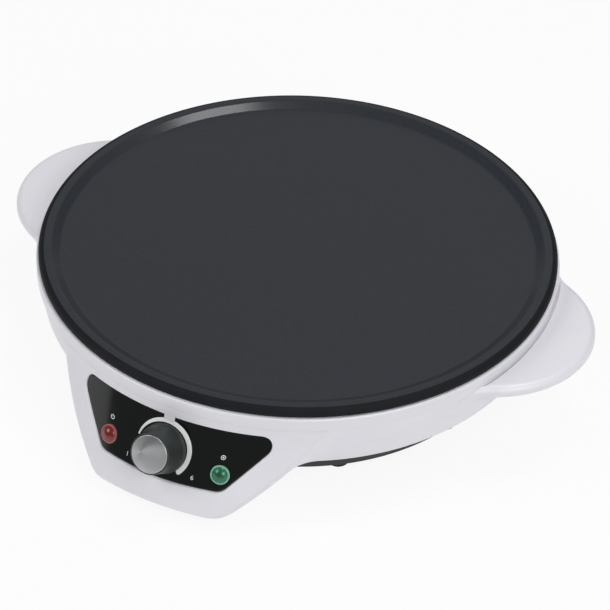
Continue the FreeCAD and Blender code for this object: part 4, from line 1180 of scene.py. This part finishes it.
# %% PTFE coat
speckle, peel_size, cloud_size = 1.3, 2.2, 70


def sprayed_ptfe():
    """The speckle picks between two greys and moves the roughness, a slow cloud dims the grey by
    up to a twentieth, and the orange peel is a bump."""
    material, tree, shader = new_finish("ptfe_sprayed_on_aluminium", IOR=1.38, Coat_Weight=0.4,
                                        Coat_Roughness=0.17)
    place = add(tree, "ShaderNodeTexCoord").outputs["Object"]
    cloud = add(tree, "ShaderNodeTexNoise",
                {"Vector": place, "Scale": per_metre(cloud_size), "Detail": 3.0})
    speck = add(tree, "ShaderNodeTexNoise",
                {"Vector": place, "Scale": per_metre(speckle), "Detail": 4.0, "Roughness": 0.7})
    peel = add(tree, "ShaderNodeTexNoise",
               {"Vector": place, "Scale": per_metre(peel_size), "Detail": 2.0})
    ramp = add(tree, "ShaderNodeValToRGB", {"Fac": speck.outputs["Fac"]})
    for stop, position, grey in zip(ramp.color_ramp.elements, (0.36, 0.72), ("#161A20", "#212731")):
        stop.position = position
        stop.color = linear(grey)
    shade = add(tree, "ShaderNodeMapRange",
                {"Value": cloud.outputs["Fac"], "To Min": 0.95, "To Max": 1.05})
    tone = add(tree, "ShaderNodeVectorMath",
               {0: ramp.outputs["Color"], "Scale": shade.outputs["Result"]}, operation="SCALE")
    rough = add(tree, "ShaderNodeMapRange",
                {"Value": speck.outputs["Fac"], "To Min": 0.5, "To Max": 0.64})
    relief = add(tree, "ShaderNodeBump",
                 {"Height": peel.outputs["Fac"], "Strength": 0.12, "Distance": 0.0003})
    tree.links.new(tone.outputs["Vector"], shader.inputs["Base Color"])
    tree.links.new(rough.outputs["Result"], shader.inputs["Roughness"])
    tree.links.new(relief.outputs["Normal"], shader.inputs["Normal"])
    return material


ptfe = sprayed_ptfe()
print("PTFE speckle scale", round(per_metre(speckle)), "per metre")

# %% [markdown]
# ## Black plastics and rubber
#
# The panel is moulded in a mirror-polished tool and stays glossy, with the faint green cast of
# carbon-black ABS. The knob is PBT from a spark-eroded tool: satin, finely grained. The cover is
# polypropylene with a coarser grain, the bush is nylon and the feet are matt rubber. They differ
# in colour, grain and roughness only, so all of them share the recipe of the white ABS.

# %% Black plastics and rubber
gloss_abs = moulded("black_abs_polished", "#090C0B", "#0C100E", 3.0, 0.04, 0.07, 0.01, IOR=1.53)
grip_pbt = moulded("black_pbt_spark_eroded", "#1E2422", "#272E2B", 0.5, 0.34, 0.46, 0.25, IOR=1.54)
cover_pp = moulded("black_polypropylene_grained", "#101113", "#17181A", 0.8, 0.5, 0.65, 0.3, IOR=1.49)
bush_nylon = moulded("black_nylon", "#121214", "#19191B", 0.7, 0.4, 0.52, 0.2, IOR=1.53)
foot_rubber = moulded("black_rubber_matt", "#101010", "#181817", 0.6, 0.72, 0.85, 0.35, IOR=1.52)
wear(pieces["panel_face"], gloss_abs)
wear(pieces["knob_grip"], grip_pbt)
wear(pieces["knob_pointer"], grip_pbt)
print("black finishes:", [m.name for m in (gloss_abs, grip_pbt, cover_pp, bush_nylon, foot_rubber)])

# %% [markdown]
# ## The plate's wall in painted shade
#
# The outer wall of the plate gets a darker, dead matt black than the grey top. This is painted
# shade, standing in for the shade that the wall is in under light from above. The plate stays one
# piece with two finishes, and a face takes the painted shade where it lies far out and below the
# rim's top.

# %% Painted shade on the plate's wall
painted_shade_width = 3.3
# Painted shade: a darker matt black on the plate's outer wall stands in for the shade that it is in.
wall_painted_shade = moulded("black_painted_wall_shade", "#0F1114", "#17191D", 0.7, 0.6, 0.75, 0.2,
                     Specular_IOR_Level=0.2)
wear(cooking_plate, ptfe, wall_painted_shade)
centres = values(cooking_plate.data.polygons, "center") / MM - np.array([axis_x, axis_y, rim_top])
far_out = np.hypot(centres[:, 0], centres[:, 1]) > plate_radius - painted_shade_width
# Faces far out and below the rim's top take the painted shade.
in_painted_shade = far_out & (centres[:, 2] < 0.0)
cooking_plate.data.polygons.foreach_set("material_index", in_painted_shade.astype(np.int32))
print("faces of the plate's painted wall:", int(in_painted_shade.sum()))

# %% [markdown]
# ## A UV that goes round
#
# Lenses and cap are round things on a leaning panel, and their finishes change from the middle
# outward. Object coordinates can't follow that without a turned texture space. So each point
# gets a UV of its turn round the axis and its distance from it, worked out from its place.

# %% Polar UV
def polar_uv(made, reach, height, angle=0.0):
    """UV of a round piece on the panel: u is the turn round its axis over a full turn, v the
    distance from it over its reach. Both come from the local x and y, found by turning back the
    angle round the plate's axis and the tilt."""
    mesh = made.data
    co = values(mesh.vertices, "co") / MM - np.array([axis_x, axis_y, 0])
    r = cone_at(height) - panel_sink / math.cos(tilt)
    c, s = math.cos(angle), math.sin(angle)
    side = c * co[:, 0] + s * co[:, 1]
    up = (c * co[:, 1] - s * co[:, 0] + r) * math.sin(tilt) + (co[:, 2] - height) * math.cos(tilt)
    corner = np.zeros(len(mesh.loops), dtype=np.int32)
    mesh.loops.foreach_get("vertex_index", corner)
    turn_share = (np.arctan2(up, side) / (2 * np.pi))[corner]
    out = np.hypot(side, up)[corner] / reach
    layer = mesh.uv_layers.new(name="polar")
    layer.data.foreach_set("uv", np.stack([turn_share, out], axis=1).astype(np.float32).ravel())


polar_uv(pieces["lens_red"], flange_radius, lamp_height, -lamp_angle)
polar_uv(pieces["lens_green"], flange_radius, lamp_height, lamp_angle)
cap_reach = 12.0
polar_uv(pieces["knob_disc"], cap_reach, knob_height)
with_uv = [name for name, made in pieces.items() if "polar" in made.data.uv_layers]
print("pieces with a polar UV:", with_uv)

# %% [markdown]
# ## Ink
#
# Pad-print ink is a thin opaque film, slightly rougher than the gloss below it. It has its own
# finish, because the white of the housing beside it would be too smooth and too cool.

# %% Ink
ink = moulded("white_pad_ink", "#ECEEEC", "#F4F5F4", 0.4, 0.45, 0.6, 0.1, IOR=1.5)
for made in (pieces["scale_print"], *numerals):
    wear(made, ink)
print("ink on", ink.users, "pieces")

# %% [markdown]
# ## Lenses
#
# The lenses are moulded in clear red and clear green polycarbonate over dark holders, so they
# look deep in the middle and bright where their rim gathers light. Fully clear plastic would
# need a lit holder behind it. Here a little transmission under a tint that follows the distance
# from the middle paints that light instead, the same from every side: painted edge light on the
# dome and a painted highlight on the flange.

# %% Lenses
def clear_lens(name, deep, bright, flange_highlight_colour):
    """Tinted polycarbonate with painted light. The colour is deep in the middle, painted brighter
    where the dome turns away, and painted pale on the flange as a highlight of the light that the
    clear flange gathers. The flange is v above 0.8."""
    material, tree, shader = new_finish(name, IOR=1.58, Roughness=0.2, Transmission_Weight=0.15)
    place = add(tree, "ShaderNodeTexCoord").outputs["Object"]
    uv = add(tree, "ShaderNodeUVMap", uv_map="polar").outputs["UV"]
    out = add(tree, "ShaderNodeSeparateXYZ", {"Vector": uv}).outputs["Y"]
    flow = add(tree, "ShaderNodeTexNoise", {"Vector": place, "Scale": per_metre(2.0), "Detail": 2.0})
    # The edge share paints edge light on the dome, and the flange share paints a pale highlight on the
    # flange.
    edge = add(tree, "ShaderNodeMapRange", {"Value": out, "From Min": 0.2, "From Max": 0.78})
    flange = add(tree, "ShaderNodeMapRange", {"Value": out, "From Min": 0.8, "From Max": 0.86})
    share = add(tree, "ShaderNodeMath", {0: edge.outputs["Result"], 1: flow.outputs["Fac"]},
                operation="MULTIPLY").outputs["Value"]
    tint = add(tree, "ShaderNodeMix", {"Factor": share, "A": linear(deep), "B": linear(bright)},
               data_type="RGBA").outputs["Result"]
    flange_highlight = add(tree, "ShaderNodeMix", {"Factor": flange.outputs["Result"], "A": tint, "B": linear(flange_highlight_colour)},
               data_type="RGBA")
    tree.links.new(flange_highlight.outputs["Result"], shader.inputs["Base Color"])
    return material


# Each lens has its own deep colour, a painted edge-light colour and a painted flange-highlight colour.
red_lens = clear_lens("red_polycarbonate", "#70110F", "#A8342B", "#A8655F")
green_lens = clear_lens("green_polycarbonate", "#0A5A3A", "#2A966B", "#86C4AC")
wear(pieces["lens_red"], red_lens)
wear(pieces["lens_green"], green_lens)
print("lenses:", red_lens.name, green_lens.name)

# %% [markdown]
# ## Spun aluminium
#
# The cap is an aluminium disc faced on a lathe: its grooves run round its middle, so the
# highlight fans out from there. Real grooves are hundredths of a millimetre apart. They are
# drawn coarser here, as noise along the distance from the middle, and an anisotropic shader
# whose tangent follows the turn stretches the highlight across them.

# %% Spun aluminium
def spun_aluminium():
    """Rings of noise by the distance alone move colour, roughness and bump."""
    material, tree, shader = new_finish("aluminium_spun", Metallic=1.0, Anisotropic=0.75)
    uv = add(tree, "ShaderNodeUVMap", uv_map="polar").outputs["UV"]
    rings = add(tree, "ShaderNodeMapping", {"Vector": uv, "Scale": (0.0, 12.0, 1.0)}).outputs["Vector"]
    groove = add(tree, "ShaderNodeTexNoise",
                 {"Vector": rings, "Scale": 2.2, "Detail": 4.0, "Roughness": 0.75},
                 noise_dimensions="2D").outputs["Fac"]
    textured(tree, shader, groove, groove, ("#A9ABAD", "#DADBDC"), (0.22, 0.38), 0.2,
             metal_grain_depth)
    along_turn = add(tree, "ShaderNodeTangent", direction_type="UV_MAP", uv_map="polar")
    tree.links.new(along_turn.outputs["Tangent"], shader.inputs["Tangent"])
    return material


spun = spun_aluminium()
wear(pieces["knob_disc"], spun)
print("spun cap has", len(pieces["knob_disc"].data.uv_layers), "UV map")

# %% [markdown]
# ## The parts inside
#
# Sheet metal, screws, ceramic beads, the thermostat and its tube keep their own meshes. They
# are seen only from below or with the plate off, but each still gets its real finish: rolled
# sheet shows streaks along the rolling direction, plating is cloudy, drawn copper is dull, and
# unglazed ceramic is chalky.

# %% Metals inside
def worked_metal(name, dark, light, grain, stretch, low, high):
    """A metal whose colour and roughness follow streaks: noise with a grain in millimetres,
    stretched along the direction in which it was rolled or drawn."""
    material, tree, shader = new_finish(name, Metallic=1.0)
    place = add(tree, "ShaderNodeTexCoord").outputs["Object"]
    lie = add(tree, "ShaderNodeMapping", {"Vector": place, "Scale": stretch}).outputs["Vector"]
    streak = add(tree, "ShaderNodeTexNoise",
                 {"Vector": lie, "Scale": per_metre(grain), "Detail": 4.0}).outputs["Fac"]
    textured(tree, shader, streak, streak, (dark, light), (low, high), 0.1, metal_grain_depth)
    return material


rolled = (0.08, 1.0, 1.0)
even = (1.0, 1.0, 1.0)
zinc = worked_metal("steel_zinc_plated", "#8E9297", "#B9BCC0", 1.2, even, 0.25, 0.4)
print("streaks of rolled sheet are", round(1 / rolled[0], 1), "times as long as wide")

# %% [markdown]
# ## A finish for every slot
#
# The record gives each node a material slot. The finishes stand in one table by slot, each with
# a line that says what the real material is and how it looks, and the recipes above make them.

# %% Table of finishes
finishes = {
    # Aluminised steel sheet: bright, streaked by the rolls.
    "steel_sheet": worked_metal("aluminised_sheet_rolled", "#8C8E90", "#B4B6B8", 1.5, rolled, 0.28, 0.42),
    # Zinc-plated screws and spacers: cloudy, slightly blue.
    "zinc_steel": zinc,
    # Heating tube: annealed steel, browned by heat.
    "element_tube": worked_metal("steel_tube_heat_browned", "#57504A", "#7C736A", 6.0, even, 0.45, 0.6),
    # Terminals: half-hard brass strip.
    "brass_tab": worked_metal("brass_strip", "#A98744", "#C9A85E", 1.0, rolled, 0.25, 0.38),
    # Capillary and bulb: drawn copper, dulled by handling.
    "copper_tube": worked_metal("copper_drawn_dull", "#8A5238", "#B4714D", 2.0, even, 0.35, 0.5),
    # Fuse can: tin-plated brass.
    "fuse_metal": worked_metal("brass_tin_plated", "#A49C80", "#C4BCA0", 1.0, even, 0.3, 0.42),
    # Beads: unglazed steatite, chalky and off-white.
    "ceramic": moulded("steatite_unglazed", "#D6D1C6", "#E6E1D6", 0.5, 0.7, 0.85, 0.3, IOR=1.6),
    # Thermostat: brown-black phenolic resin, fairly shiny.
    "control_resin": moulded("phenolic_resin", "#2A211C", "#362B24", 1.0, 0.3, 0.42, 0.1, IOR=1.6),
    # Lamp holders: heat-resistant nylon in its own colour.
    "lamp_holder": moulded("nylon_natural", "#D2CCBE", "#DFD9CB", 0.8, 0.4, 0.52, 0.15, IOR=1.53),
    # Terminal block: off-white polyamide.
    "block_plastic": moulded("polyamide_off_white", "#D8D4C8", "#E4E0D4", 0.8, 0.42, 0.55, 0.15, IOR=1.53),
    "black_cover": cover_pp,
    "foot_rubber": foot_rubber,
    "bush_black": bush_nylon,
    "knob_black": grip_pbt,
    "panel_gloss": gloss_abs,
    "white_housing": white_abs,
    "nonstick_plate": ptfe,
    "spun_aluminium": spun,
    "red_lens": red_lens,
    "green_lens": green_lens,
}
print("slots with a finish:", len(finishes))

# %% [markdown]
# ## Every carried-over node
#
# A node that keeps its own mesh, such as a screw, needs its finish too. Setting them one by one
# would miss some, so one loop dresses every node from the table, also those that a smooth piece
# stands for, and no node stays bare.

# %% Finishes of the carried-over nodes
slot_of = {part["node"]: part["material_slot"] for part in frame["record"]["subparts"]}
for node_name, node in frame["nodes"].items():
    wear(node, finishes[slot_of[node_name]])
print("finished nodes:", len(slot_of), "with", len(set(slot_of.values())), "slots")

# %% [markdown]
# ## The floor
#
# The photograph is a cut-out on white. More light would whiten the floor and the maker alike, so
# the floor is white paper whose colour does the work: camera, glossy and transmission rays see
# most of it at full white, and metal and glass mirror the same paper. The rest of its shading
# keeps the maker's shadow.

# %% Floor
floor_size = 12.0
paper_glow = 0.9
paper, tree, shader = new_finish("white_paper", Roughness=0.9)
shader.inputs["Base Color"].default_value = linear("#F4F4F4")
glow = add(tree, "ShaderNodeEmission", {"Color": (1.0, 1.0, 1.0, 1.0), "Strength": 1.0})
path = add(tree, "ShaderNodeLightPath").outputs
seen = path["Is Camera Ray"]
for ray in ("Is Glossy Ray", "Is Transmission Ray"):
    seen = add(tree, "ShaderNodeMath", {0: seen, 1: path[ray]}, operation="MAXIMUM").outputs["Value"]
share = add(tree, "ShaderNodeMath", {0: seen, 1: paper_glow}, operation="MULTIPLY").outputs["Value"]
blend = add(tree, "ShaderNodeMixShader",
            {0: share, 1: shader.outputs["BSDF"], 2: glow.outputs["Emission"]})
tree.links.new(blend.outputs["Shader"], tree.nodes["Material Output"].inputs["Surface"])
half = floor_size / 2
corners = [(-half, -half, 0), (half, -half, 0), (half, half, 0), (-half, half, 0)]
floor_mesh = bpy.data.meshes.new("floor")
floor_mesh.from_pydata(corners, [], [(0, 1, 2, 3)])
floor = shown("floor", floor_mesh)
wear(floor, paper)
print("floor", floor_size, "m wide")

# %% [markdown]
# ## Lamps and room
#
# The light is soft and comes from large squares, as in a product studio. Two stand high on the
# left and right in front. A wide weak one behind gives the plate its sheen, and a small one
# overhead gives the streak on the far slope of the rim. The room itself is dim, so that the
# upright glossy panel mirrors something dark.

# %% Lamps and world
def soft_lamp(name, place, target, size, power):
    """Square lamp that faces a target point."""
    data = bpy.data.lights.new(name, "AREA")
    data.size = size
    data.energy = power
    lamp = shown(name, data)
    lamp.location = place
    lamp.rotation_euler = (Vector(target) - Vector(place)).to_track_quat("-Z", "Y").to_euler()


centre = (0.0, 0.0, 0.05)
soft_lamp("lamp_over", (0.325, 0.35, 1.6), centre, 0.42, 7.0)
soft_lamp("lamp_back", (-0.75, 1.5, 1.3), centre, 1.8, 3.6)
soft_lamp("lamp_left", (-1.4, -1.2, 1.5), centre, 1.2, 18.0)
soft_lamp("lamp_right", (1.5, -1.0, 1.3), centre, 1.2, 19.5)
world = bpy.data.worlds.new("studio")
bpy.context.scene.world = world
world.use_nodes = True
room = world.node_tree.nodes["Background"]
room.inputs["Color"].default_value = (0.95, 0.97, 1.0, 1.0)
room.inputs["Strength"].default_value = 0.2
bpy.context.scene.view_settings.view_transform = "Standard"
